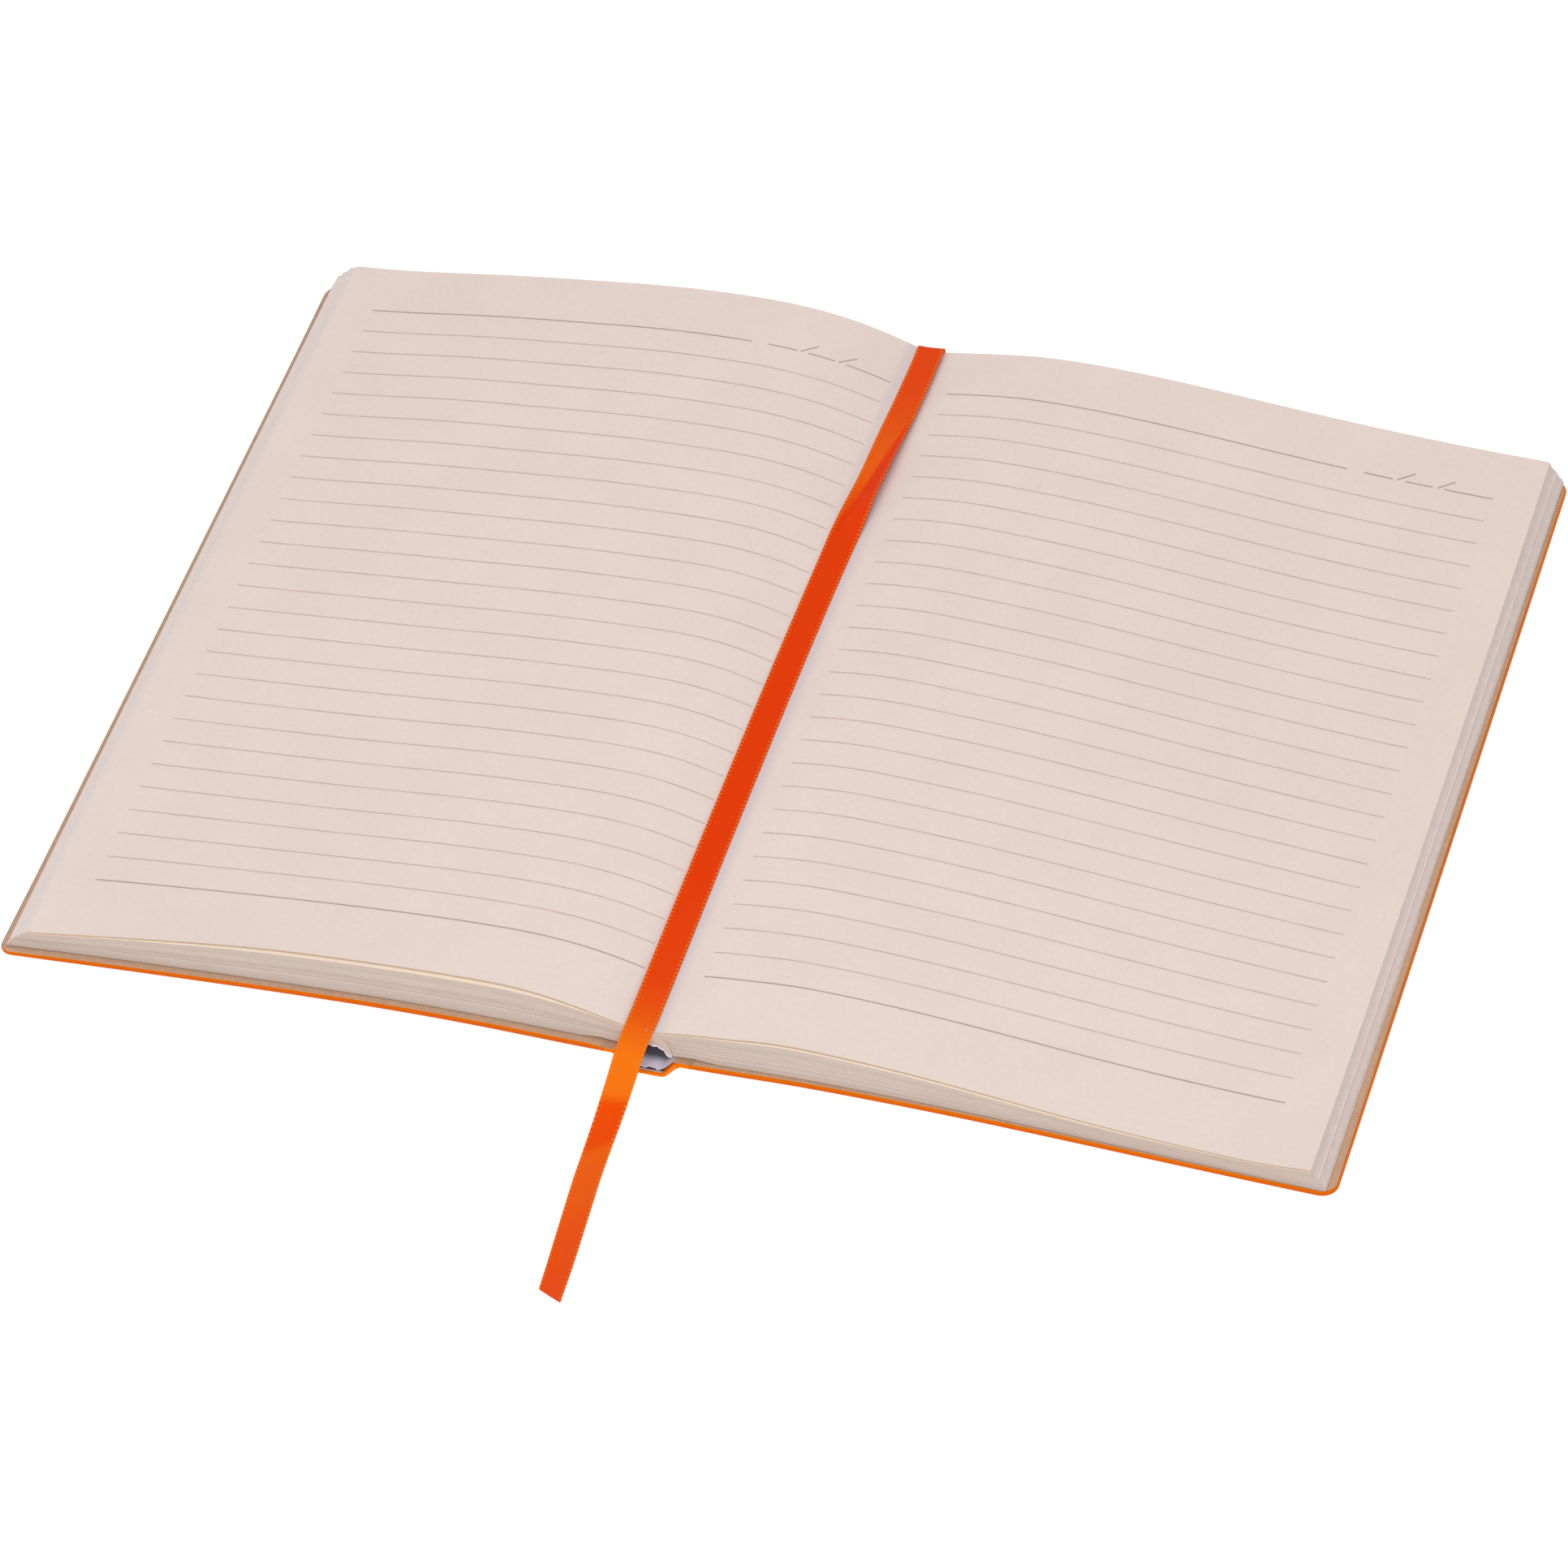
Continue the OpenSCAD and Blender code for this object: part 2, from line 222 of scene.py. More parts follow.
class Shader:
    """A node material with a few short ways to add nodes."""

    def __init__(self, name):
        self.material = bpy.data.materials.new(name)
        self.material.use_nodes = True
        self.tree = self.material.node_tree
        self.surface = self.tree.nodes["Principled BSDF"]
        self.place = self.tree.nodes.new("ShaderNodeTexCoord").outputs["Object"]

    def set(self, **values):
        for name, value in values.items():
            self.surface.inputs[name.replace("_", " ").title().replace("Ior", "IOR")].default_value = value

    def link(self, output, name):
        self.tree.links.new(output, self.surface.inputs[name])

    def noise(self, scale, detail, stretch=(1, 1, 1)):
        mapping = self.tree.nodes.new("ShaderNodeMapping")
        mapping.inputs["Scale"].default_value = stretch
        self.tree.links.new(self.place, mapping.inputs["Vector"])
        node = self.tree.nodes.new("ShaderNodeTexNoise")
        node.inputs["Scale"].default_value = scale
        node.inputs["Detail"].default_value = detail
        self.tree.links.new(mapping.outputs[0], node.inputs["Vector"])
        return node.outputs["Fac"]

    def cells(self, scale):
        node = self.tree.nodes.new("ShaderNodeTexVoronoi")
        node.inputs["Scale"].default_value = scale
        self.tree.links.new(self.place, node.inputs["Vector"])
        return node.outputs["Distance"]

    def math(self, operation, a, b=None):
        node = self.tree.nodes.new("ShaderNodeMath")
        node.operation = operation
        for index, value in enumerate((a, b)):
            if value is None:
                continue
            if isinstance(value, (int, float)):
                node.inputs[index].default_value = value
            else:
                self.tree.links.new(value, node.inputs[index])
        return node.outputs[0]

    def waves(self, value, pitch):
        return self.math("SINE", self.math("MULTIPLY", value, 2 * math.pi / pitch))

    def span(self, value, low, high, to_low=0.0, to_high=1.0):
        node = self.tree.nodes.new("ShaderNodeMapRange")
        node.interpolation_type = "SMOOTHSTEP"
        self.tree.links.new(value, node.inputs["Value"])
        node.inputs["From Min"].default_value = low
        node.inputs["From Max"].default_value = high
        node.inputs["To Min"].default_value = to_low
        node.inputs["To Max"].default_value = to_high
        return node.outputs["Result"]

    def mix(self, share, a, b):
        node = self.tree.nodes.new("ShaderNodeMix")
        node.data_type = "RGBA"
        for name, value in (("Factor", share), ("A", a), ("B", b)):
            socket = [i for i in node.inputs if i.name == name and i.enabled][0]
            if isinstance(value, (int, float)):
                socket.default_value = value
            elif isinstance(value, tuple):
                socket.default_value = (*value, 1)
            else:
                self.tree.links.new(value, socket)
        return [o for o in node.outputs if o.enabled][0]

    def split(self, vector):
        node = self.tree.nodes.new("ShaderNodeSeparateXYZ")
        self.tree.links.new(vector, node.inputs[0])
        return node.outputs

    def attribute(self, name):
        node = self.tree.nodes.new("ShaderNodeAttribute")
        node.attribute_name = name
        return node.outputs["Fac"]

    def bump(self, height, strength, distance, chain=None):
        node = self.tree.nodes.new("ShaderNodeBump")
        node.inputs["Strength"].default_value = strength
        node.inputs["Distance"].default_value = distance
        self.tree.links.new(height, node.inputs["Height"])
        if chain is not None:
            self.tree.links.new(chain, node.inputs["Normal"])
        return node.outputs["Normal"]


def colour(red, green, blue):
    """A colour as seen on a screen, 0 to 255, turned into light."""

    def light(value):
        share = value / 255
        return share / 12.92 if share <= 0.04045 else ((share + 0.055) / 1.055) ** 2.4

    return (light(red), light(green), light(blue))


# Shade beside the ribbon: where it starts and ends from the spine in millimetres, and its strength.
GUTTER_SHADE_LEFT = (-5.8, -4.4, 0.25)
GUTTER_SHADE_RIGHT = (0.8, 4.8, 0.5)


def gutter_shade(shader, base):
    """The paper looks bluish in the shade on both sides of the ribbon."""
    out = shader.math("SUBTRACT", shader.split(shader.place)[0], spine_x * MM)
    start, end, strength = GUTTER_SHADE_RIGHT
    right = shader.math("MULTIPLY", shader.span(out, start * MM, end * MM, 1.0, 0.0), strength)
    start, end, strength = GUTTER_SHADE_LEFT
    left = shader.math("MULTIPLY", shader.span(out, start * MM, end * MM), strength)
    on_right = shader.math("GREATER_THAN", out, 0)
    on_left = shader.math("SUBTRACT", 1.0, on_right)
    right_share = shader.math("MULTIPLY", right, on_right)
    left_share = shader.math("MULTIPLY", left, on_left)
    return shader.mix(shader.math("ADD", right_share, left_share), base, colour(190, 182, 198))


def paper_material(name, tint, top_page):
    """Pale paper with a soft cloud. The top page also has a few specks, and painted shade
    along its tail edge and in the gutter.
    """
    shader = Shader(name)
    dark = tuple(v * 0.93 for v in tint)
    cloud = shader.span(shader.noise(60, 3), 0.3, 0.7)
    grain = shader.span(shader.noise(900, 4), 0.25, 0.75)
    blend = shader.math("ADD", shader.math("MULTIPLY", cloud, 0.35), shader.math("MULTIPLY", grain, 0.5))
    base = shader.mix(blend, dark, tint)
    if top_page:
        dots = shader.span(shader.cells(190), 0.0, 0.07, 1.0, 0.0)
        some = shader.span(shader.noise(45, 1), 0.55, 0.62)
        speck = shader.math("MULTIPLY", dots, shader.math("MULTIPLY", some, 0.35))
        base = shader.mix(speck, base, tuple(v * 0.62 for v in tint))
        # Painted shade: a brownish line along the top page's tail edge.
        base = shader.mix(shader.attribute("tail_edge_shade"), base, colour(205, 174, 148))
        base = gutter_shade(shader, base)
    shader.link(base, "Base Color")
    shader.set(roughness=0.85, specular_ior_level=0.25)
    shader.link(shader.bump(shader.noise(1800, 4), 0.12, 0.0001), "Normal")
    return shader.material


def leaf_edge_material():
    """The same paper seen edge on: each leaf has a shade of its own. Painted shade makes the tail
    faces darker, and the left fore edge a little darker than the right.
    """
    shader = Shader("leaf_edges")
    # Painted shade: the tail faces get a darker colour than the fore edges.
    shaded_tail_tint = colour(212, 194, 182)
    # Painted shade: the left fore edge is a little darker than the right.
    on_left = shader.math("LESS_THAN", shader.split(shader.place)[0], 0.0)
    fore = shader.mix(on_left, colour(231, 216, 210), colour(234, 220, 214))
    fore_dark = shader.mix(on_left, colour(215, 200, 194), colour(222, 208, 203))
    shade = shader.attribute("leaf_shade")
    grain = shader.span(shader.noise(700, 3, (0.15, 1, 1)), 0.3, 0.7)
    mixed = shader.math("ADD", shader.math("MULTIPLY", shade, 0.75), shader.math("MULTIPLY", grain, 0.25))
    at_fore = shader.mix(mixed, fore_dark, fore)
    on_tail = shader.mix(mixed, tuple(v * 0.84 for v in shaded_tail_tint), shaded_tail_tint)
    shader.link(shader.mix(shader.attribute("tail_face"), at_fore, on_tail), "Base Color")
    shader.set(roughness=0.9, specular_ior_level=0.2)
    return shader.material


def ink_material(name, tint):
    """Pale printing ink, a little uneven from place to place."""
    shader = Shader(name)
    patch = shader.span(shader.noise(140, 3), 0.3, 0.7)
    darker = tuple(v * 0.92 for v in tint)
    lighter = tuple(min(v * 1.08, 1) for v in tint)
    shader.link(shader.mix(patch, darker, lighter), "Base Color")
    shader.set(roughness=0.85, specular_ior_level=0.2)
    return shader.material


# Hatch of the endpapers, and how far from its tail edge the painted shade on the flyleaf is full
# and where it has faded out.
HATCH_PITCH = 0.7
HATCH_SLOPE = -0.8
FLYLEAF_SHADE = (0.9, 1.6)


def endpaper_material(name, shaded_tail):
    """Tan paper with a fine diagonal hatch. The flyleaf has painted shade under the leaves at the tail."""
    shader = Shader(name)
    tint = colour(208, 168, 138)
    x, y = shader.split(shader.place)[:2]
    across = shader.math("ADD", x, shader.math("MULTIPLY", y, HATCH_SLOPE))
    wave = shader.waves(across, HATCH_PITCH * MM)
    hatch = shader.span(wave, -0.6, 0.8)
    blotch = shader.span(shader.noise(900, 3), 0.3, 0.7)
    share = shader.math("ADD", shader.math("MULTIPLY", hatch, 0.6), shader.math("MULTIPLY", blotch, 0.4))
    hatched = shader.mix(share, tuple(v * 0.72 for v in tint), tint)
    # Painted shade: dark brown where the leaves overhang the flyleaf's tail.
    if shaded_tail:
        start, end = ((tail + inset) * MM for inset in FLYLEAF_SHADE)
        at_tail = shader.span(y, start, end, 1.0, 0.0)
        hatched = shader.mix(at_tail, hatched, colour(112, 84, 68))
    shader.link(hatched, "Base Color")
    shader.set(roughness=0.8, specular_ior_level=0.2)
    return shader.material


def cover_material():
    """Smooth orange imitation leather with a fine grain, with painted shade low on its edges and a
    painted dark line of shade on the top of the left fore edge.
    """
    shader = Shader("orange_cover")
    tint = colour(243, 121, 0)
    pores = shader.cells(1500)
    grain = shader.noise(2600, 4)
    patch = shader.span(shader.noise(35, 2), 0.3, 0.7)
    body = shader.mix(patch, tuple(v * 0.9 for v in tint), tint)
    # Painted shade: the lower part of the edges is darker.
    low = shader.mix(shader.attribute("low_edge_shade"), body, colour(212, 88, 0))
    # Painted shade: a dark grey line along the top of the left fore edge.
    shader.link(shader.mix(shader.attribute("rim"), low, colour(92, 84, 94)), "Base Color")
    shader.set(roughness=0.5, specular_ior_level=0.25, specular_tint=(1, 0.5, 0.03, 1))
    fine = shader.bump(pores, 0.25, 0.00008)
    shader.link(shader.bump(grain, 0.15, 0.00005, fine), "Normal")
    return shader.material


def plain_material(name, tint, scale, strength):
    """A mottled material with a fine grain."""
    shader = Shader(name)
    mottle = shader.span(shader.noise(scale, 4), 0.3, 0.7)
    shader.link(shader.mix(mottle, tuple(v * 0.85 for v in tint), tint), "Base Color")
    shader.set(roughness=0.8, specular_ior_level=0.25)
    shader.link(shader.bump(shader.noise(scale * 2, 4), strength, 0.0001), "Normal")
    return shader.material


# Painted shade: where it sets in and is full, inside the tail of the cover on the card and
# inside the leaves' tail on the liner.
CARD_SHADE = (0.42, 0.55)
LINER_SHADE = (0.7, 3.4)


def card_material():
    """Grey card, brown in the shade of the liner."""
    shader = Shader("spine_card_grey")
    grey = colour(176, 170, 166)
    mottle = shader.span(shader.noise(800, 4), 0.3, 0.7)
    y = shader.split(shader.place)[1]
    start, end = ((inset - half_height) * MM for inset in CARD_SHADE)
    shaded = shader.span(y, start, end)
    base = shader.mix(mottle, tuple(v * 0.85 for v in grey), grey)
    # Painted shade: brown where the liner overhangs the card.
    shader.link(shader.mix(shaded, base, colour(78, 60, 62)), "Base Color")
    shader.set(roughness=0.85, specular_ior_level=0.2)
    return shader.material


def liner_material():
    """Bluish white paper with painted shade deep inside the hollow spine."""
    shader = Shader("torn_liner_paper")
    light = colour(230, 232, 252)
    dark = colour(104, 104, 112)
    mottle = shader.span(shader.noise(500, 4), 0.3, 0.7)
    y = shader.split(shader.place)[1]
    start, end = ((tail + inset) * MM for inset in LINER_SHADE)
    inside = shader.span(y, start, end)
    outside = shader.mix(mottle, tuple(v * 0.85 for v in light), light)
    # Painted shade: darker further in from the leaves' tail.
    shader.link(shader.mix(inside, outside, dark), "Base Color")
    shader.set(roughness=0.8, specular_ior_level=0.2)
    shader.link(shader.bump(shader.noise(900, 4), 0.3, 0.0001), "Normal")
    return shader.material


# Weave of the ribbon in millimetres: pitch of the twill, its threads and the dots along the edges,
# slope of the twill, and where the dotted edge starts and is full.
TWILL_PITCH = 0.55
THREAD_PITCH = 0.22
DOT_PITCH = 1.1
TWILL_SLOPE = 1.3
DOTTED_EDGE = (2.35, 2.5)


def ribbon_material():
    """Red orange satin: a fine twill, painted sheen and shade along it, and dots along the woven edges."""
    shader = Shader("ribbon_satin")
    red = colour(240, 58, 0)
    orange = colour(253, 128, 22)
    along = shader.attribute("along")
    across = shader.attribute("across")
    slant = shader.math("ADD", along, shader.math("MULTIPLY", across, TWILL_SLOPE))
    twill = shader.span(shader.waves(slant, TWILL_PITCH), -1, 1)
    thread = shader.span(shader.waves(across, THREAD_PITCH), -1, 1)
    bright = shader.attribute("sheen_shade")
    side = shader.math("ABSOLUTE", across)
    edge = shader.span(side, *DOTTED_EDGE)
    dots = shader.span(shader.waves(along, DOT_PITCH), 0.0, 0.6)
    # Painted sheen and shade: red where the satin is shaded, orange where it catches the light.
    body = shader.mix(bright, red, orange)
    woven = shader.mix(shader.math("MULTIPLY", twill, 0.3), body, tuple(v * 0.55 for v in red))
    stitches = shader.math("MULTIPLY", shader.math("MULTIPLY", edge, dots), 0.7)
    stitched = shader.mix(stitches, woven, orange)
    shader.link(stitched, "Base Color")
    shader.set(roughness=0.45, specular_ior_level=0.25, specular_tint=(1, 0.25, 0.02, 1))
    lines = shader.bump(thread, 0.2, 0.00004)
    shader.link(shader.bump(twill, 0.35, 0.00006, lines), "Normal")
    return shader.material


# The ribbon marker: middle line as in the part's source, with place, height and sideways tilt.

RIBBON_ROUTE = (
    (0.0, 104.9, 8.4, 0),
    (0.0, 104.9, 10.8, 2),
    (0.0, 104.1, 11.7, 4),
    (0.1, 99, 11.9, 5),
    (0.0, 86, 12.3, 3),
    (-0.4, 74, 12.7, 10),
    (-0.7, 62, 12.9, 16),
    (-1.1, 54, 12.8, 14),
    (-1.4, 46, 12.5, -3),
    (-1.6, 36, 12.3, -13),
    (-1.8, 0, 12.3, -15),
    (-1.7, -50, 12.0, -11),
    (-1.5, -84, 11.7, -8),
    (-1.4, -99, 11.6, -7),
    (-1.5, -104.6, 11.4, -5),
    (-1.8, -109, 10.2, 0),
    (-2.3, -115, 6.8, 6),
    (-2.9, -121, 3.3, 10),
    (-3.2, -128, 1.2, 13),
    (-2.9, -136, 0.9, 14),
    (-2.0, -148, 0.9, 15),
    (-1.2, -158, 1.1, 17),
    (-0.7, -166, 1.2, 20),
)

# The ribbon's width, thickness and crown, how far it stays above the pages and past their tail edge, its
# steps, and its tip: slope of the cut, how much longer than the route it is, and over what stretch.
RIBBON_WIDTH = 6
RIBBON_DEPTH = 0.3
RIBBON_CROWN = 0.12
RIBBON_REST = 0.16
RIBBON_PAST_TAIL = 0.6
RIBBON_STEPS = 14
RIBBON_COLUMNS = 18
TIP_SLANT = 0.75
TIP_EXTRA = 1.1
TIP_RUN = 14

# Section of the ribbon, in shares of its half width and depth: a flat face with a bead near each edge.
RIBBON_FACE = 0.36
BEAD_SIZE = 0.14
BEAD_PLACE = 0.93
BEAD_SPREAD = 0.06
RIBBON_END_POWER = 24

# The slanted fold: its place at the ribbon's middle, its slope, and the height and spread of its ridge.
FOLD_Y = 61
FOLD_SLOPE = 5.5
FOLD_HEIGHT = 0.3
FOLD_SPREAD = 6

# The painted lighter field on the far side of the fold: middle, spread and how much lighter or darker.
FIELD_Y = 66
FIELD_SPREAD = 16
FIELD_LIGHTER = 0.3
FIELD_DARKER = 0.25
FIELD_ENDS = (20, 80)

# Painted sheen and shade: how light the satin is painted at places along it.
RIBBON_SHADES = (
    (105, 0.12),
    (78, 0.14),
    (60, 0.22),
    (44, 0.06),
    (0, 0.03),
    (-60, 0.03),
    (-90, 0.1),
    (-99, 0.35),
    (-104, 0.62),
    (-110, 0.95),
    (-116.5, 0.9),
    (-118.5, 0.22),
    (-126, 0.18),
    (-128.5, 0.5),
    (-140, 0.45),
    (-148, 0.3),
    (-166, 0.18),
)

# The band of painted shade on the tail: slope of its lower border, the ribbon's middle, and where
# the slope sets in.
BAND_SLANT = 0.55
BAND_MIDDLE = 2.9
BAND_START = -118
BAND_RUN = 4


def route_point(index, t):
    """A point of a smooth curve through the route."""
    last = len(RIBBON_ROUTE) - 1
    picks = (max(index - 1, 0), index, min(index + 1, last), min(index + 2, last))
    before, here, after, beyond = (np.array(RIBBON_ROUTE[i], float) for i in picks)
    return 0.5 * (
        2 * here
        + (after - before) * t
        + (2 * before - 5 * here + 4 * after - beyond) * t**2
        + (3 * here - before - 3 * after + beyond) * t**3
    )


def ribbon_section():
    """Half the outline of the ribbon across its width: place from -1 to 1 and half thickness."""
    section = []
    for i in range(RIBBON_COLUMNS + 1):
        place = -math.cos(math.pi * i / RIBBON_COLUMNS)
        bead = math.exp(-(((abs(place) - BEAD_PLACE) / BEAD_SPREAD) ** 2))
        round_end = math.sqrt(max(0.0, 1 - abs(place) ** RIBBON_END_POWER))
        section.append((place, (RIBBON_FACE + BEAD_SIZE * bead) * RIBBON_DEPTH * round_end))
    return section


def make_ribbon(material):
    """The ribbon along its route, with a slanted tip."""
    middle = [
        route_point(i, k / RIBBON_STEPS) for i in range(len(RIBBON_ROUTE) - 1) for k in range(RIBBON_STEPS)
    ]
    middle.append(np.array(RIBBON_ROUTE[-1], float))
    middle = np.array(middle)
    section = ribbon_section()
    loop = [(p, h) for p, h in section] + [(p, -h) for p, h in reversed(section[1:-1])]
    points = []
    along = []
    across = []
    travelled = 0.0
    tip_y = middle[-1][1]
    for i, row in enumerate(middle):
        ahead = middle[min(i + 1, len(middle) - 1), :3] - middle[max(i - 1, 0), :3]
        ahead /= np.linalg.norm(ahead)
        lean = math.radians(row[3])
        flat = np.array((math.cos(lean), 0, math.sin(lean)))
        side = flat - (flat @ ahead) * ahead
        side /= np.linalg.norm(side)
        through = np.cross(side, ahead)
        if i:
            travelled += float(np.linalg.norm(row[:3] - middle[i - 1, :3]))
        slant = TIP_SLANT * max(0.0, 1 - (row[1] - tip_y) / TIP_RUN)
        for place, half_depth in loop:
            out = place * RIBBON_WIDTH / 2
            bulge = RIBBON_CROWN * (1 - place**2) + fold_ridge(row[1], out)
            onward = slant * out + TIP_EXTRA * slant / TIP_SLANT
            point = row[:3] + side * out + through * (half_depth + bulge) + ahead * onward
            points.append(on_page(point, half_depth))
            along.append(travelled + onward)
            across.append(out)
    count = len(loop)
    faces = [
        (r * count + k, r * count + (k + 1) % count, (r + 1) * count + (k + 1) % count, (r + 1) * count + k)
        for r in range(len(middle) - 1)
        for k in range(count)
    ]
    faces.append(tuple(range(count - 1, -1, -1)))
    faces.append(tuple(range((len(middle) - 1) * count, len(middle) * count)))
    ribbon = make_piece("ribbon", points, faces, material, "book")
    set_attribute(ribbon, "along", along)
    set_attribute(ribbon, "across", across)
    # Painted sheen and shade along the ribbon.
    set_attribute(ribbon, "sheen_shade", [ribbon_sheen_shade(p) for p in points])
    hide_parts("ribbon_marker")
    to_metres(middle[0])
    [to_metres(p) for p in middle]


def fold_place(across):
    """Where the slanted fold of the ribbon runs, at a place across it."""
    return FOLD_Y + FOLD_SLOPE * across


def fold_ridge(y, across):
    """Height of the soft ridge along the slanted fold."""
    return FOLD_HEIGHT * math.exp(-(((y - fold_place(across)) / FOLD_SPREAD) ** 2))


def on_page(point, half_depth):
    """Keeps a point of the ribbon above the pages."""
    x, y, z = point
    if tail - RIBBON_PAST_TAIL < y < head:
        z = max(z, page_height(side_of(x), abs(x), y) + RIBBON_REST + half_depth)
    return np.array((x, y, z))


def ribbon_sheen_shade(point):
    """Painted sheen and shade of the satin, with a painted lighter field on one side of the fold."""
    across = point[0]
    y = point[1]
    places = [place for place, shade in reversed(RIBBON_SHADES)]
    shades = [shade for place, shade in reversed(RIBBON_SHADES)]
    skew = BAND_SLANT * (across + BAND_MIDDLE) * ease((BAND_START - y) / BAND_RUN)
    base = float(np.interp(y - skew, places, shades))
    above = ease((y - fold_place(across + 1) + 2) / 5)
    near = math.exp(-(((y - FIELD_Y) / FIELD_SPREAD) ** 2))
    below = 1 - above if FIELD_ENDS[0] < y < FIELD_ENDS[1] else 0
    return base + FIELD_LIGHTER * near * above - FIELD_DARKER * near * below


def set_attribute(piece, name, values):
    attribute = piece.data.attributes.new(name, "FLOAT", "POINT")
    attribute.data.foreach_set("value", np.array(values, np.float32))


# Heights of the covers and the leaves, read from the frame.

PROFILE_STEP = 0.5


def tree_of(node):
    mesh = nodes[node].data
    points = [v.co.copy() for v in mesh.vertices]
    return BVHTree.FromPolygons(points, [tuple(p.vertices) for p in mesh.polygons])


def ray_heights(node, side, distances, from_above):
    """Heights of a node where rays through the middle of its length meet it first."""
    tree = tree_of(node)
    start = 0.1 if from_above else -0.1
    down = Vector((0, 0, -1 if from_above else 1))
    heights = []
    for distance in distances:
        x = (spine_x + DIRECTION[side] * distance) * MM
        hit = tree.ray_cast(Vector((x, 0.0005, start)), down)[0]
        heights.append(hit.z / MM if hit else float("nan"))
    return np.array(heights)


class Profile:
    """A height for each distance from the spine, with the facets of the solid smoothed out."""

    def __init__(self, node, side, first, last, from_above, smoothing):
        self.places = np.arange(first, last, PROFILE_STEP)
        heights = ray_heights(node, side, self.places, from_above)
        width = int(smoothing / PROFILE_STEP) // 2 * 2 + 1
        half = width // 2
        before = 2 * heights[0] - heights[half:0:-1]
        after = 2 * heights[-1] - heights[-2 : -half - 2 : -1]
        padded = np.concatenate([before, heights, after])
        self.heights = np.convolve(padded, np.ones(width) / width, "valid")

    def at(self, distance):
        return float(np.interp(distance, self.places, self.heights))


cover_profile = [Profile(COVER_NODE[s], s, joint_at + 0.1, reach[s] - 0.1, False, 8) for s in SIDES]
page_profile = [
    Profile("text_block", s, 0.1, leaf_reach[s] - setback[s] - 0.1, True, 4) for s in SIDES
]
under_profile = [Profile("text_block", s, 0.1, leaf_reach[s] - 0.1, False, 2) for s in SIDES]


# Thickness of the covers, and how far they sag under the solid's smooth section, by distance.
COVER_DEPTHS = (
    ((9, 1.15), (12, 1.4), (70, 1.3), (125, 1.1), (138, 0.85)),
    ((9, 1.0), (12, 1.15), (70, 1.15), (140, 1.1)),
)
COVER_SAG = (
    ((8, -0.6), (68, -0.6), (85, -0.45), (110, -0.1), (120, 0)),
    ((8, -0.45), (30, -0.25), (68, 0)),
)

# Thickness of the material on the floor of the spine and at the joints.
SPINE_FLOOR = 0.9
JOINT_DEPTH = 0.9

# Walls of the spine's channel, below and above the material: where they start, and how far they run.
WALL_BELOW = (2.9, 4.6)
WALL_ABOVE = (2.6, 4.1)

# Past the joint the material gets thicker: from how far out, and over what stretch.
THICKEN = (0.8, 2.2)


def lift(side, distance, y):
    """How far the cover and what lies on it stand higher towards the corners."""
    out = max(distance, 0) / reach[side]
    up = (1 + y / half_height) / 2
    tail_lift, head_lift = CORNER_LIFT[side]
    return out**3 * (tail_lift * (1 - up) ** 2 + head_lift * up**2)


def cover_base(side, distance, y):
    """Underside of the cover material, from the flat floor of the spine out to the fore edge."""
    if distance < joint_at:
        return joint_height(side) * ease((distance - WALL_BELOW[0]) / WALL_BELOW[1])
    return cover_profile[side].at(distance) + curve(COVER_SAG[side], distance) + lift(side, distance, y)


def curve(table, distance):
    """A value read from a short table of places and values."""
    return float(np.interp(distance, [row[0] for row in table], [row[1] for row in table]))


def joint_height(side):
    return cover_profile[side].at(joint_at) + curve(COVER_SAG[side], joint_at)


def cover_top(side, distance, y):
    """Upper side of the cover material."""
    if distance < joint_at:
        top = joint_height(side) + JOINT_DEPTH
        return SPINE_FLOOR + (top - SPINE_FLOOR) * ease((distance - WALL_ABOVE[0]) / WALL_ABOVE[1])
    thicker = curve(COVER_DEPTHS[side], distance) - JOINT_DEPTH
    depth = JOINT_DEPTH + thicker * ease((distance - joint_at - THICKEN[0]) / THICKEN[1])
    return cover_base(side, distance, y) + depth


def swell(side, distance, y):
    """The page's broad swells, added up at a place."""
    total = 0.0
    for height, at_distance, at_y, spread, spread_y in PAGE_SWELLS[side]:
        off = ((distance - at_distance) / spread) ** 2 + ((y - at_y) / spread_y) ** 2
        total += height * math.exp(-off)
    return total


def page_height(side, distance, y):
    """Upper side of the top leaf."""
    return page_profile[side].at(distance) + swell(side, distance, y)


# Thickness of the endpapers, the gap between them, and how far the heels of the lowest leaves sag.
PASTEDOWN_DEPTH = 0.1
FLYLEAF_GAP = 0.12
FLYLEAF_DEPTH = 0.16
HEEL_SAG = 0.5

# From the spine outward: where the heel of the leaves sags and over what stretch, where the pile comes
# down on the cover and over what stretch, and from where it lies on the cover.
HEEL_SAG_AT = (2, 2.5)
PILE_LANDS = (8.6, 6)
PILE_FLAT_FROM = 15

# Tail edge of the leaves: how far inside the tail it starts, and how far it runs out to the fore edge.
TAIL_SKEW = ((0.7, -0.4), (0.3, -0.9))


def pile_base(side, distance, y):
    """Underside of the lowest leaf: on the flyleaf, and as in the solid beside the spine."""
    on_cover = cover_top(side, distance, y) + PASTEDOWN_DEPTH + FLYLEAF_GAP + FLYLEAF_DEPTH
    if distance > PILE_FLAT_FROM:
        return on_cover
    sag = HEEL_SAG * ease((distance - HEEL_SAG_AT[0]) / HEEL_SAG_AT[1])
    beside_spine = under_profile[side].at(distance) - sag
    return beside_spine + (on_cover - beside_spine) * ease((distance - PILE_LANDS[0]) / PILE_LANDS[1])


def leaf_height(side, distance, y, share):
    """Height in the pile of leaves, from the lowest leaf at 0 to the top of the page at 1."""
    low = pile_base(side, distance, y)
    return low + (page_height(side, distance, y) - low) * share


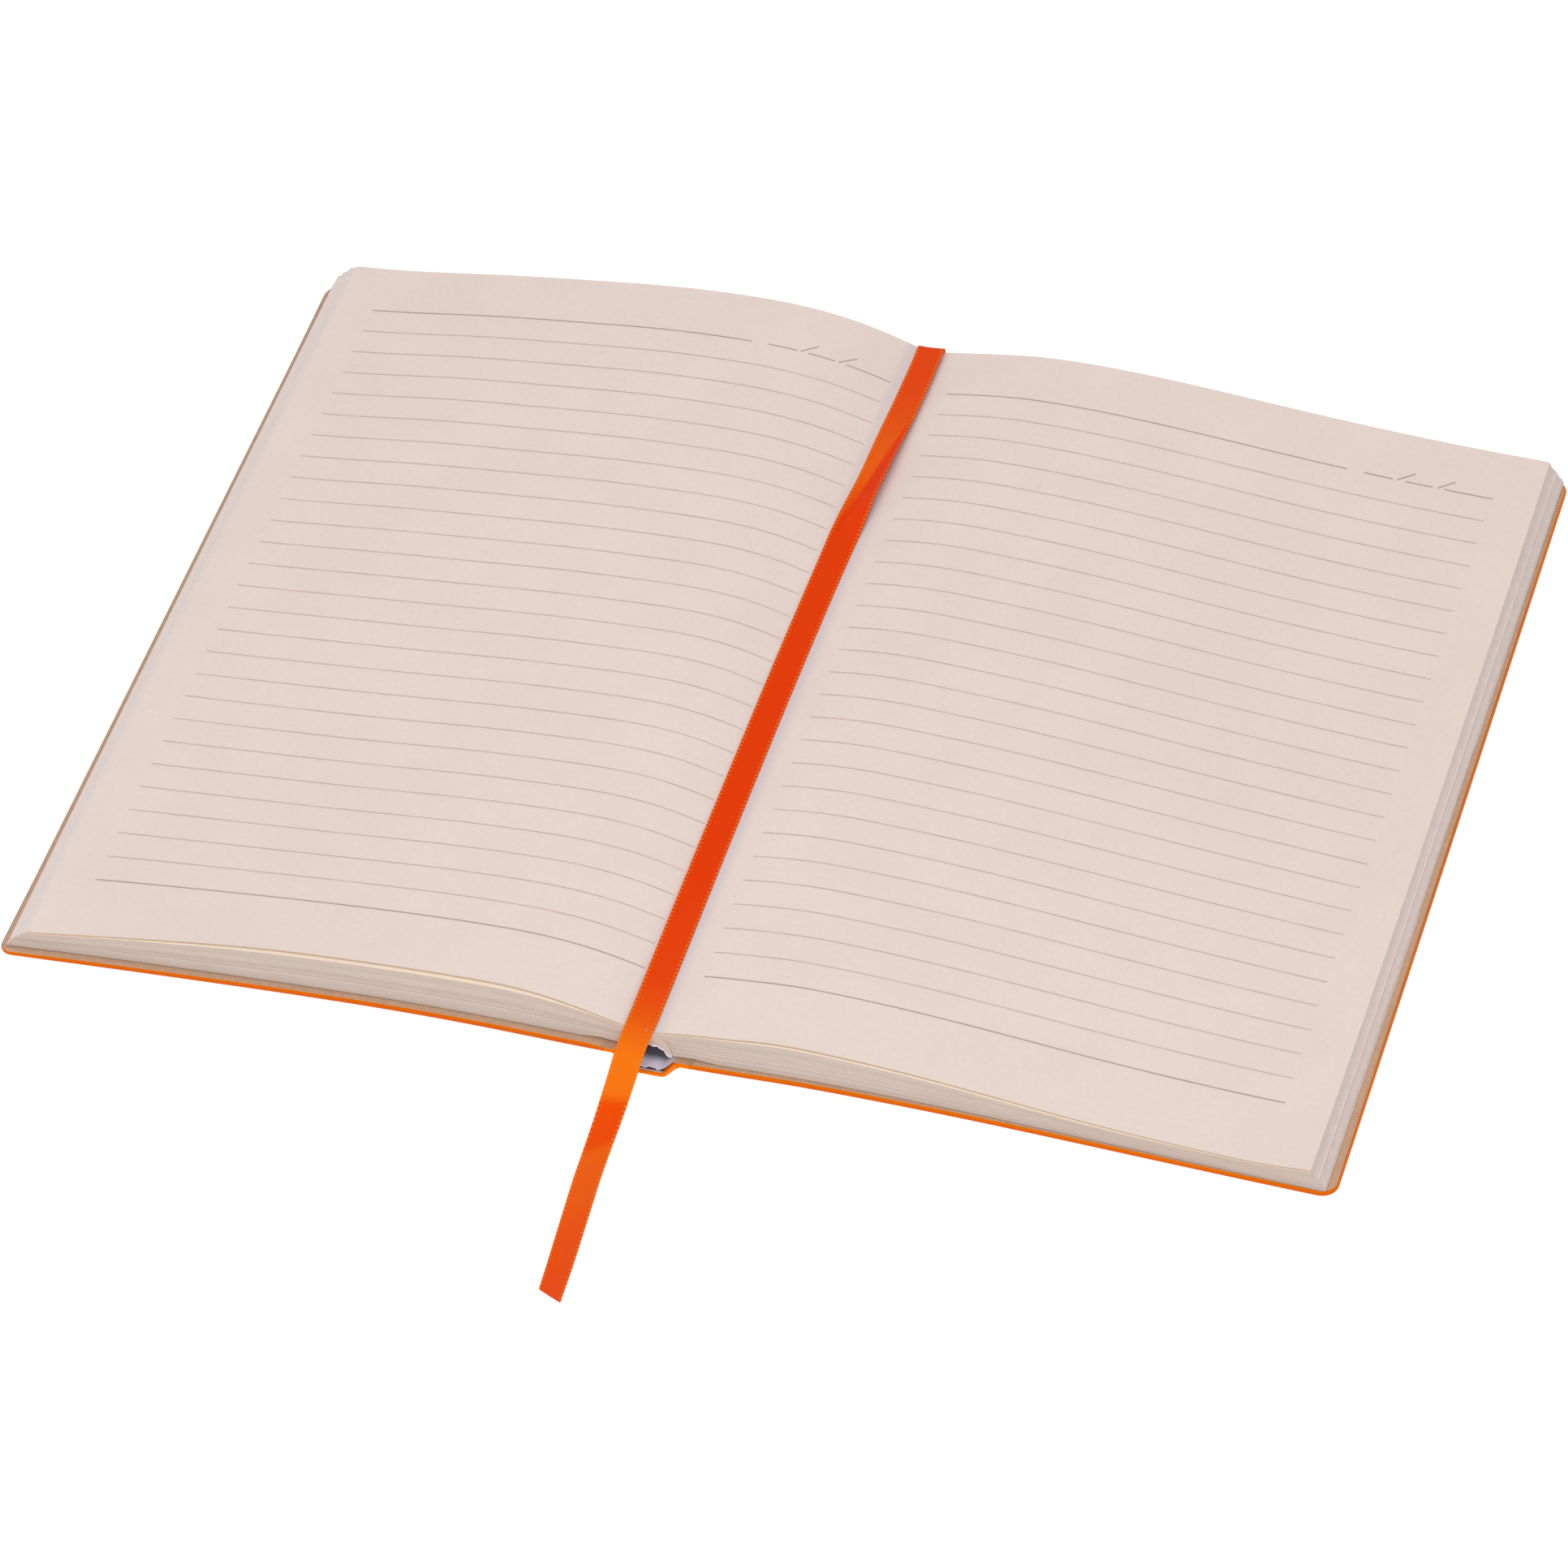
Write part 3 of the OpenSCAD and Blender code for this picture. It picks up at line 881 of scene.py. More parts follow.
def fore_edge(side, share, y=0.0):
    """Distance of a leaf's fore edge from the spine: hollow groups that step back one by one."""
    stepped = 0.0
    start = 0.0
    for end, step in FORE_GROUPS[side]:
        within = min(max((share - start) / (end - start), 0), 1)
        stepped += step * (1 - (1 - within) ** 2)
        start = end
    return leaf_reach[side] + LEAF_REACH_SHIFT[side] - stepped * (1 + FORE_SKEW[side] * y / half_height)


def leaf_tail(side, distance):
    """The leaves lie a little skew in the cover, so more cover shows at the near left corner."""
    inset, skew = TAIL_SKEW[side]
    return tail + inset + skew * distance / leaf_reach[side]


# Leaves.

LEAVES_EACH_SIDE = 48
LEAF_FILL = 0.96
LEAF_COLUMNS = 30
PAGE_COLUMNS = 100
PAGE_CROWD = 1.25

# How unevenly the leaves lie: leaves in a folded section, and shifts of a section, a leaf and its head.
SECTION_LEAVES = 6
SECTION_SHIFT = 0.1
LEAF_SHIFT = 0.05
HEAD_SHIFT = (-0.1, 0.05)


def add_sheet(points, faces, over, under):
    """Adds a thin closed sheet: over and under are grids of points, [column][row]."""
    columns, rows = len(over), len(over[0])
    first = len(points)
    for grid in (over, under):
        for column in grid:
            points.extend(column)

    def top(c, r):
        return first + c * rows + r

    def low(c, r):
        return first + (columns + c) * rows + r

    for c in range(columns - 1):
        for r in range(rows - 1):
            faces.append((top(c, r), top(c + 1, r), top(c + 1, r + 1), top(c, r + 1)))
            faces.append((low(c, r), low(c, r + 1), low(c + 1, r + 1), low(c + 1, r)))
    for c in range(columns - 1):
        faces.append((top(c, 0), low(c, 0), low(c + 1, 0), top(c + 1, 0)))
        faces.append((top(c, rows - 1), top(c + 1, rows - 1), low(c + 1, rows - 1), low(c, rows - 1)))
    last = columns - 1
    for r in range(rows - 1):
        faces.append((top(0, r), top(0, r + 1), low(0, r + 1), low(0, r)))
        faces.append((top(last, r), low(last, r), low(last, r + 1), top(last, r + 1)))


def even_rows(count):
    return [r / (count - 1) for r in range(count)]


# Places of the rows of a page: the first three lie close together at its tail.
PAGE_ROW_PLACES = [0, 0.001, 0.0015] + [(r + 1) / 61 for r in range(61)]
LEAF_ROW_PLACES = [0, 0.0012] + even_rows(9)[1:]


def leaf_grid(side, share, edge_share, columns, rows, tail_shift, head_shift, crowd=1.0):
    """Points of one face of a leaf, from its inner end to its fore edge."""
    inner = heel_at * math.cos(math.pi / 2 * edge_share)
    grid = []
    for c in range(columns):
        out = (c / (columns - 1)) ** crowd
        nominal = inner + (fore_edge(side, edge_share) - inner) * out
        start = leaf_tail(side, nominal) + tail_shift(nominal)
        end = head + head_shift
        column = []
        for row in rows:
            y = start + (end - start) * row
            distance = inner + (fore_edge(side, edge_share, y) - inner) * out
            column.append((DIRECTION[side] * distance, y, leaf_height(side, distance, y, share)))
        grid.append(column)
    if DIRECTION[side] < 0:
        return [column[::-1] for column in grid]
    return grid


def tail_marks(side, rows, marked):
    """1 for the rows at the tail of one column of a leaf and 0 for the others."""
    marks = [1.0 if r < marked else 0.0 for r in range(rows)]
    return marks[::-1] if DIRECTION[side] < 0 else marks


def make_leaves(side, material):
    """All the leaves of one side under the second one."""
    points, faces, shades = [], [], []
    group_shift = 0.0
    for i in range(LEAVES_EACH_SIDE - 2):
        if i % SECTION_LEAVES == 0:
            group_shift = rng.uniform(-SECTION_SHIFT, SECTION_SHIFT)
        shift = group_shift + rng.uniform(-LEAF_SHIFT, LEAF_SHIFT)
        share = i / LEAVES_EACH_SIDE
        top_share = (i + LEAF_FILL) / LEAVES_EACH_SIDE
        head_shift = rng.uniform(*HEAD_SHIFT)
        lay = (LEAF_COLUMNS, LEAF_ROW_PLACES, lambda d: shift, head_shift)
        over = leaf_grid(side, top_share, share, *lay)
        under = leaf_grid(side, share, share, *lay)
        add_sheet(points, faces, over, under)
        shade = rng.uniform(0.0, 1.0)
        shades.extend([shade] * (2 * LEAF_COLUMNS * len(LEAF_ROW_PLACES)))
    leaves = make_piece(SIDE_NAME[side] + "_leaves", points, faces, material, "book")
    set_attribute(leaves, "leaf_shade", shades)
    # Marks the tail faces, which take the painted shade.
    marks = tail_marks(side, len(LEAF_ROW_PLACES), 1)
    set_attribute(leaves, "tail_face", marks * (len(points) // len(marks)))
    sharpen(leaves, 40)


# The top leaf is set back at the tail, so that the next leaf shows below it. The setback starts
# near the spine, grows over a stretch, and ends over the last stretch before the fore edge.
TOP_SETBACK = (0.75, 0.3)
SETBACK_START = 6
SETBACK_GROWS = 25
SETBACK_ENDS = 60
PAGE_THICKNESS = 0.1
SECOND_SHARE = 1 - 1 / LEAVES_EACH_SIDE
SECOND_COLUMNS = 72
SECOND_ROWS = 28
SECOND_SHIFT = -0.05
SECOND_DEPTH_SHARE = 0.8 / LEAVES_EACH_SIDE


def make_second_leaf(side, material):
    """The leaf under the top one, of which a narrow strip shows at the tail."""
    lay = (SECOND_COLUMNS, even_rows(SECOND_ROWS), lambda d: SECOND_SHIFT, SECOND_SHIFT)
    over = leaf_grid(side, SECOND_SHARE, SECOND_SHARE, *lay)
    under = leaf_grid(side, SECOND_SHARE - SECOND_DEPTH_SHARE, SECOND_SHARE, *lay)
    points, faces = [], []
    add_sheet(points, faces, over, under)
    leaf = make_piece(SIDE_NAME[side] + "_second_leaf", points, faces, material, "book")
    sharpen(leaf, 40)


def make_page(side, material):
    """The top leaf, which carries the ruling."""

    def tail_shift(distance):
        near_gutter = ease((distance - SETBACK_START) / SETBACK_GROWS)
        near_edge = ease((leaf_reach[side] - setback[side] - distance) / SETBACK_ENDS)
        return TOP_SETBACK[side] * near_gutter * near_edge

    rows = PAGE_ROW_PLACES
    over = leaf_grid(side, 1.0, 1.0, PAGE_COLUMNS, rows, tail_shift, 0.0, PAGE_CROWD)
    under = [[(x, y, z - PAGE_THICKNESS) for x, y, z in column] for column in over]
    points, faces = [], []
    add_sheet(points, faces, over, under)
    page = make_piece(SIDE_NAME[side] + "_page", points, faces, material, "book")
    # The rows at the tail edge take the painted shade line.
    set_attribute(page, "tail_edge_shade", tail_marks(side, len(rows), 2) * (2 * PAGE_COLUMNS))
    sharpen(page, 50)


# The arch under the backs: height of its top, half width of its flat crown and how round it is,
# and how far the backs are shorter than the leaves at the tail and the head.
ARCH_TOP = 8.2
ARCH_CROWN = 1.7
ARCH_ROUND = 0.35
BACK_INSET = (0.2, 0.1)
BACK_STEPS = 16

# Lining under the backs: thickness, half width and steps, how far it passes the tail, how rough it is.
LINING_DEPTH = 0.28
LINING_HALF_WIDTH = 5.15
LINING_STEPS = 24
LINING_PAST_TAIL = 0.25
LINING_ROUGH = 0.12

# Waves of a torn edge: height, how fast they follow each other, and how much of the seed shifts them.
TORN_WAVES = ((0.22, 1.9, 1), (0.13, 4.7, 2), (0.07, 9.3, 0))


def arch(side, distance):
    """Underside of the backs of the leaves: a blunt gable over the hollow of the spine."""
    foot = pile_base(side, heel_at, 0)
    down = min(max((distance - ARCH_CROWN) / (heel_at - ARCH_CROWN), 0), 1)
    return foot + (ARCH_TOP - foot) * (ARCH_ROUND * (1 - ease(down)) + (1 - ARCH_ROUND) * (1 - down))


def make_block_back(material):
    """The folded backs of the leaves, between the arch and their inner ends."""
    start, end = tail + BACK_INSET[0], head - BACK_INSET[1]
    over, under = [], []
    for i in range(-BACK_STEPS, BACK_STEPS + 1):
        side = side_of(i)
        distance = min(abs(i) / BACK_STEPS * heel_at, heel_at - 0.01)
        share = math.acos(distance / heel_at) / (math.pi / 2)
        low = arch(side, distance)
        high = max(leaf_height(side, distance, 0, share) - 0.1, low + 0.05)
        x = DIRECTION[side] * distance
        over.append([(x, start, high), (x, end, high)])
        under.append([(x, start, low), (x, end, low)])
    points, faces = [], []
    add_sheet(points, faces, over, under)
    back = make_piece("block_back", points, faces, material, "book")
    # The back takes the tail faces' painted shade, at a dark tone.
    set_attribute(back, "leaf_shade", [0.2] * len(points))
    set_attribute(back, "tail_face", [1.0] * len(points))
    sharpen(back, 40)
    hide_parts("text_block")


def torn(place, seed):
    """A torn edge: short and long waves."""
    return sum(height * math.sin(rate * place + part * seed) for height, rate, part in TORN_WAVES)


def spread_places(half_width, steps):
    """Places across the spine from one side to the other."""
    return [half_width * i / steps for i in range(-steps, steps + 1)]


def side_places(side, start, end, steps):
    """Places on one side of the spine, from left to right."""
    return sorted(DIRECTION[side] * (start + (end - start) * i / steps) for i in range(steps + 1))


def make_lining(material):
    """Thin paper glued under the backs of the leaves, torn at the tail."""

    def edges(x):
        return tail - LINING_PAST_TAIL + torn(x, 2.0), head

    def under(x, y):
        return arch(side_of(x), abs(x)) - LINING_DEPTH + LINING_ROUGH * torn(x, 1.0)

    def over(x, y):
        return arch(side_of(x), abs(x)) + 0.02

    places = spread_places(LINING_HALF_WIDTH, LINING_STEPS)
    lining = make_layer("spine_lining_paper", material, "book", places, edges, under, over, 0.08)
    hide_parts("spine_lining")


# Printed lines, as thin strips that lie on the page.


def add_strip(points, faces, side, path, width):
    """Adds a flat strip that follows a straight printed line over the page."""
    (x0, y0), (x1, y1) = path
    count = max(2, int(math.hypot(x1 - x0, y1 - y0) / STRIP_STEP))
    along = Vector((x1 - x0, y1 - y0)).normalized()
    sideways = Vector((-along.y, along.x)) * width / 2
    first = len(points)
    for i in range(count + 1):
        t = i / count
        x, y = x0 + (x1 - x0) * t, y0 + (y1 - y0) * t
        for sign in (-1, 1):
            px, py = x + sign * sideways.x, y + sign * sideways.y
            points.append((px, py, page_height(side, abs(px), py) + LINE_LIFT))
    for i in range(count):
        a = first + 2 * i
        faces.append((a, a + 2, a + 3, a + 1))


def line_y(index):
    return (LINE_COUNT // 2 - index) * LINE_PITCH + MIDDLE_LINE_Y


def make_ruling(side, thin, bold):
    """Ruled lines, and bolder ones at the tail and the head with a place for a date."""
    start, end = (x - spine_x for x in LINE_ENDS[side])
    points, faces = [], []
    for index in range(1, LINE_COUNT - 1):
        y = line_y(index)
        add_strip(points, faces, side, ((start, y), (end, y)), LINE_WIDTH)
    lines = make_piece(SIDE_NAME[side] + "_ruled_lines", points, faces, thin, "book")
    points, faces = [], []
    first_y, last_y = line_y(0), line_y(LINE_COUNT - 1)
    add_strip(points, faces, side, ((start, last_y), (end, last_y)), BOLD_LINE_WIDTH)
    first_end = FIRST_LINE_END[side] - spine_x
    add_strip(points, faces, side, ((start, first_y), (first_end, first_y)), BOLD_LINE_WIDTH)
    for dash_start, dash_end in DATE_DASHES[side]:
        path = ((dash_start - spine_x, first_y), (dash_end - spine_x, first_y))
        add_strip(points, faces, side, path, BOLD_LINE_WIDTH)
    for slash in DATE_SLASHES[side]:
        foot = (slash - spine_x, first_y)
        top = (foot[0] + SLASH_SIZE[0], foot[1] + SLASH_SIZE[1])
        add_strip(points, faces, side, (foot, top), BOLD_LINE_WIDTH)
    marks = make_piece(SIDE_NAME[side] + "_bold_lines", points, faces, bold, "book")


# Covers.

# Rounding of the edges, width of the rim round the cover, steps of the outline, and where it starts.
EDGE_ROUND = 0.42
RIM_END = 1.0
EDGE_ARC = 5
COVER_COLUMNS = 44
CORNER_STEPS = 10
FORE_STEPS = 12
COVER_START = 8.7

# Radius of the corners, at the tail and at the head.
CORNER_RADII = ((2.8, 4.0), (3.6, 2.8))

# The left fore edge is hollow round a place along it, and the right one runs in towards the head.
LEFT_FORE_OUT = 0.3
LEFT_FORE_HOLLOW = 0.4
LEFT_FORE_MIDDLE = 15
RIGHT_FORE_IN = 0.5
FORE_SHIFT_FROM = 60

# The left tail edge stands out towards the corner: how far, from where and over what stretch.
TAIL_BULGE = (0.3, 60, 70)


def side_of(x):
    return LEFT if x < 0 else RIGHT


def fore_shift(side, y):
    """The fore edges aren't quite straight: the left one is hollow, the right one runs in."""
    if side == LEFT:
        return LEFT_FORE_OUT + LEFT_FORE_HOLLOW * ((y - LEFT_FORE_MIDDLE) / half_height) ** 2
    return -RIGHT_FORE_IN * (1 + y / half_height)


def tail_bulge(side, distance, y):
    """The tail edge of the left cover stands out a little towards the corner."""
    out, start, run = TAIL_BULGE
    return out * ease((distance - start) / run) if side == LEFT and y < 0 else 0.0


def cover_outline(side):
    """Outline of a cover from the joint round the fore edge and back: point and outward direction."""
    outline = []
    tail_radius, head_radius = CORNER_RADII[side]
    edge = reach[side]
    for i in range(COVER_COLUMNS + 1):
        distance = COVER_START + (edge - tail_radius - COVER_START) * i / COVER_COLUMNS
        outline.append(((distance, -half_height), (0, -1)))
    for end, radius in ((-1, tail_radius), (1, head_radius)):
        turns = range(1, CORNER_STEPS + 1) if end < 0 else range(CORNER_STEPS, 0, -1)
        arc = []
        for i in turns:
            turn = math.pi / 2 * i / CORNER_STEPS
            outward = (math.sin(turn), end * math.cos(turn))
            middle = (edge - radius, end * (half_height - radius))
            arc.append(((middle[0] + radius * outward[0], middle[1] + radius * outward[1]), outward))
        outline.extend(arc)
        if end < 0:
            low, high = -half_height + tail_radius, half_height - head_radius
            for i in range(1, FORE_STEPS):
                outline.append(((edge, low + (high - low) * i / FORE_STEPS), (1, 0)))
    for i in range(COVER_COLUMNS, -1, -1):
        distance = COVER_START + (edge - head_radius - COVER_START) * i / COVER_COLUMNS
        outline.append(((distance, half_height), (0, 1)))
    return outline


def cover_ring(side, inset, height, fore_inset=None):
    """Points round a cover at an inset from its edge, at a height that depends on the place."""
    ring = []
    for (distance, y), outward in cover_outline(side):
        shift = fore_shift(side, y) * ease((distance - FORE_SHIFT_FROM) / (reach[side] - FORE_SHIFT_FROM))
        d = distance + shift - outward[0] * (inset if fore_inset is None else fore_inset)
        place = y - outward[1] * inset - tail_bulge(side, distance, y)
        ring.append((DIRECTION[side] * d, place, height(d, place)))
    return ring


def add_plate(points, faces, rings, flip):
    """Closed solid from rings that run from its underside round its edge to its upper side."""
    first = len(points)
    count = len(rings[0])
    for ring in rings:
        points.extend(ring)
    made = []
    for k in range(len(rings) - 1):
        for j in range(count - 1):
            a, b = first + k * count + j, first + (k + 1) * count + j
            made.append((a, a + 1, b + 1, b))
    top = first + (len(rings) - 1) * count
    for j in range(count // 2 - 1):
        a, b = j, count - 1 - j
        made.append((first + b, first + b - 1, first + a + 1, first + a))
        made.append((top + a, top + a + 1, top + b - 1, top + b))
    middle = count // 2 - 1
    if count % 2:
        made.append((first + middle + 2, first + middle + 1, first + middle))
        made.append((top + middle, top + middle + 1, top + middle + 2))
    tail_end = [first + k * count for k in range(len(rings))]
    head_end = [first + k * count + count - 1 for k in range(len(rings))]
    made.append(tuple(tail_end + head_end[::-1]))
    faces.extend(tuple(reversed(f)) if flip else f for f in made)


def make_cover(side, material):
    """Soft cover material with a rounded edge, from the joint to the fore edge."""

    def near_base(rise):
        return lambda d, y: cover_base(side, d, y) + rise

    def near_top(drop):
        return lambda d, y: cover_top(side, d, y) - drop

    rings = []
    for i in range(EDGE_ARC + 1):
        turn = math.pi / 2 * i / EDGE_ARC
        inset, rise = EDGE_ROUND * (1 - math.sin(turn)), EDGE_ROUND * (1 - math.cos(turn))
        rings.append(cover_ring(side, inset, near_base(rise)))
    for i in range(EDGE_ARC + 1):
        turn = math.pi / 2 * i / EDGE_ARC
        inset, drop = EDGE_ROUND * (1 - math.cos(turn)), EDGE_ROUND * (1 - math.sin(turn))
        rings.append(cover_ring(side, inset, near_top(drop)))
    rings.append(cover_ring(side, RIM_END, near_top(0)))
    points, faces = [], []
    add_plate(points, faces, rings, DIRECTION[side] < 0)
    cover = make_piece(SIDE_NAME[side] + "_cover", points, faces, material, COVER_BODY[side])
    outline = cover_outline(side)
    # Painted shade on each ring: full on the lower rings, fading out towards the top.
    shaded_rings = [1.0] * (EDGE_ARC + 1) + [1 - i / EDGE_ARC for i in range(EDGE_ARC + 1)] + [0.0]
    set_attribute(cover, "low_edge_shade", [share for share in shaded_rings for point in outline])
    # Painted shade: a dark line along the top of the left fore edge.
    painted_rim_shade = [1.0 if side == LEFT and outward[0] > 0.9 else 0.0 for place, outward in outline]
    lower_rings = EDGE_ARC + 1
    off_rim = [0.0] * len(outline)
    set_attribute(cover, "rim", off_rim * lower_rings + painted_rim_shade * (len(rings) - lower_rings))
    sharpen(cover, 60)
    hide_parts(COVER_NODE[side])


# How far the pastedowns stay inside the tail and head edges and the fore edge of the covers, how far
# they sink into them, and the width and height of the bevel.
PASTEDOWN_INSET = (0.3, 0.42)
PASTEDOWN_FORE_INSET = (0.28, 0.42)
PASTEDOWN_SINK = 0.1
PASTEDOWN_BEVEL = (0.04, 0.03)


def make_pastedown(side, material):
    """Endpaper glued to the inside of a cover, with a fine bevel round its edge."""
    inset = PASTEDOWN_INSET[side]
    fore_inset = PASTEDOWN_FORE_INSET[side]

    def over_cover(height):
        return lambda d, y: cover_top(side, d, y) + height

    bevel, bevel_height = PASTEDOWN_BEVEL
    rings = [
        cover_ring(side, inset, over_cover(-PASTEDOWN_SINK), fore_inset),
        cover_ring(side, inset, over_cover(PASTEDOWN_DEPTH - bevel_height), fore_inset),
        cover_ring(side, inset + bevel, over_cover(PASTEDOWN_DEPTH), fore_inset + bevel),
    ]
    points, faces = [], []
    add_plate(points, faces, rings, DIRECTION[side] < 0)
    paper = make_piece(SIDE_NAME[side] + "_pastedown", points, faces, material, COVER_BODY[side])
    sharpen(paper, 50)
    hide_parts(PASTEDOWN_NODE[side])


# The boards stay inside the covers' edges, with material above and below them.
BOARD_INSET = 1.6
BOARD_COVER = 0.25


def make_board(side, material):
    """The thin card inside a cover."""
    rings = [
        cover_ring(side, BOARD_INSET, lambda d, y: cover_base(side, d, y) + BOARD_COVER),
        cover_ring(side, BOARD_INSET, lambda d, y: cover_top(side, d, y) - BOARD_COVER),
    ]
    points, faces = [], []
    add_plate(points, faces, rings, DIRECTION[side] < 0)
    board = make_piece(SIDE_NAME[side] + "_board", points, faces, material, COVER_BODY[side])
    sharpen(board, 50)
    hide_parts(BOARD_NODE[side])


# Rows of a layer: at each rounded end and between them. An end is rounded by no more than a share
# of the layer's thickness.
END_ROWS = 4
LONG_ROWS = 10
ROUNDING_LIMIT = 0.45


def row_shares(length, rounding):
    """Places along a layer, close together where its ends are rounded."""
    turns = [math.pi / 2 * i / END_ROWS for i in range(END_ROWS)]
    close = [rounding * (1 - math.cos(turn)) / length for turn in turns] + [rounding / length]
    wide = [i / LONG_ROWS for i in range(1, LONG_ROWS)]
    return close + wide + [1 - c for c in reversed(close)]


def make_layer(name, material, body, places, edges, under, over, rounding):
    """A closed layer over a list of places across the spread, with rounded ends."""
    over_grid, under_grid = [], []
    shares = row_shares(2 * half_height, rounding)
    for x in places:
        start, end = edges(x)
        upper, lower = [], []
        for share in shares:
            y = start + (end - start) * share
            to_end = min(share, 1 - share) * 2 * half_height
            inset = 0.0
            if to_end < rounding:
                inset = rounding * (1 - math.sqrt(max(0.0, 1 - (1 - to_end / rounding) ** 2)))
            top, low = over(x, y), under(x, y)
            inset = min(inset, ROUNDING_LIMIT * (top - low))
            upper.append((x, y, top - inset))
            lower.append((x, y, low + inset))
        over_grid.append(upper)
        under_grid.append(lower)
    points, faces = [], []
    add_sheet(points, faces, over_grid, under_grid)
    piece = make_piece(name, points, faces, material, body)
    sharpen(piece, 50)
    return piece


FLYLEAF_START = 8.8
FLYLEAF_STEPS = 60


def make_flyleaf(side, material):
    """The endpaper leaf under the pile, out to the fore edge of the lowest leaf."""
    end = leaf_reach[side] + LEAF_REACH_SHIFT[side]
    places = side_places(side, FLYLEAF_START, end, FLYLEAF_STEPS)

    def edges(x):
        return leaf_tail(side, abs(x)), head

    def over(x, y):
        return pile_base(side, abs(x), y) - 0.01

    def under(x, y):
        return pile_base(side, abs(x), y) - FLYLEAF_DEPTH

    leaf = make_layer(SIDE_NAME[side] + "_flyleaf", material, "book", places, edges, under, over, 0.02)
    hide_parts(FLYLEAF_NODE[side])


# The strip that bends at a joint: where it starts and ends from the middle of the spine, how far it
# laps over the spine's wall, and how much thicker it is.
JOINT_START = 6.6
JOINT_END = 9.2
JOINT_LAP = 0.15
JOINT_SKIN = 0.015
JOINT_STEPS = 16
CHANNEL_STEPS = 48

# How far the spine stands out at the tail, from where this fades and over what stretch.
SPINE_OUT = (0.2, 2, 4)


def spread_edges(x):
    """The middle of the spine stands out a little at the tail."""
    out, start, run = SPINE_OUT
    return -half_height - out * (1 - ease((abs(x) - start) / run)), half_height


def make_spine_skin(material):
    """Cover material in the channel of the spine, up to both joints."""
    skin_piece = make_layer(
        "spine_channel",
        material,
        "book",
        spread_places(JOINT_START, CHANNEL_STEPS),
        spread_edges,
        lambda x, y: cover_base(side_of(x), abs(x), y),
        lambda x, y: cover_top(side_of(x), abs(x), y),
        EDGE_ROUND,
    )
    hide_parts("spine_skin")


def make_joint(side, material):
    """The strip of cover material that bends at a joint, from the spine wall to the cover."""
    joint = make_layer(
        SIDE_NAME[side] + "_joint",
        material,
        None,
        side_places(side, JOINT_START - JOINT_LAP, JOINT_END, JOINT_STEPS),
        spread_edges,
        lambda x, y: cover_base(side, abs(x), y) - JOINT_SKIN,
        lambda x, y: cover_top(side, abs(x), y) + JOINT_SKIN,
        EDGE_ROUND,
    )
    blend_at_joint(joint, side)


# Endpaper over the joint: where it starts and ends, its thickness, how far it lies above the
# pastedown, and the height and spread of the curl at its inner end.
HINGE_START = 5.5
HINGE_END = 9.6
HINGE_STEPS = 24
HINGE_DEPTH = 0.14
HINGE_OVER = 0.03
HINGE_CURL = 0.5
HINGE_CURL_SPREAD = 0.5


def make_hinge_paper(side, material):
    """The endpaper runs over the joint and up to the back of the leaves."""

    def over(x, y):
        rise = HINGE_CURL * math.exp(-(((abs(x) - HINGE_START) / HINGE_CURL_SPREAD) ** 2))
        return cover_top(side, abs(x), y) + PASTEDOWN_DEPTH + HINGE_OVER + rise

    paper = make_layer(
        SIDE_NAME[side] + "_hinge_paper",
        material,
        None,
        side_places(side, HINGE_START, HINGE_END, HINGE_STEPS),
        lambda x: (-half_height + PASTEDOWN_INSET[side], half_height - PASTEDOWN_INSET[side]),
        lambda x, y: over(x, y) - HINGE_DEPTH,
        over,
        0.04,
    )
    blend_at_joint(paper, side)


def blend_at_joint(piece, side):
    """Bakes a piece's placement into its mesh; the height of the joint is worked out but not used."""
    height = joint_height(side)
    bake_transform(piece)


# Card on the spine's floor: thickness, half width and steps, how far it stays inside the ends of the
# spine, and how uneven its tail edge is.
CARD_DEPTH = 0.32
CARD_HALF_WIDTH = 3.3
CARD_STEPS = 16
CARD_INSET = 0.28
CARD_UNEVEN = 0.03

# Liner over the card: half width and steps, thickness and gap, how far its torn tail edge and its head
# stay inside the spine's, how deep it is torn, how far its sides hold back, and the curl of the tail.
LINER_HALF_WIDTH = 5.5
LINER_STEPS = 40
LINER_DEPTH = 0.13
LINER_GAP = 0.06
LINER_INSET = (0.6, 0.4)
LINER_TEAR = 0.7
LINER_SIDES = 0.5
LINER_CURL = 0.2
LINER_CURL_AT = 0.8
LINER_CURL_SPREAD = 1.2


def make_card(material):
    """Grey card on the floor of the spine channel."""

    def edges(x):
        return -half_height + CARD_INSET + CARD_UNEVEN * math.sin(5 * x), half_height - CARD_INSET

    def floor(x, y):
        return cover_top(side_of(x), abs(x), y)

    card = make_layer(
        "spine_card_strip",
        material,
        "book",
        spread_places(CARD_HALF_WIDTH, CARD_STEPS),
        edges,
        lambda x, y: floor(x, y) - 0.02,
        lambda x, y: floor(x, y) + CARD_DEPTH,
        0.06,
    )
    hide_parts("spine_card")


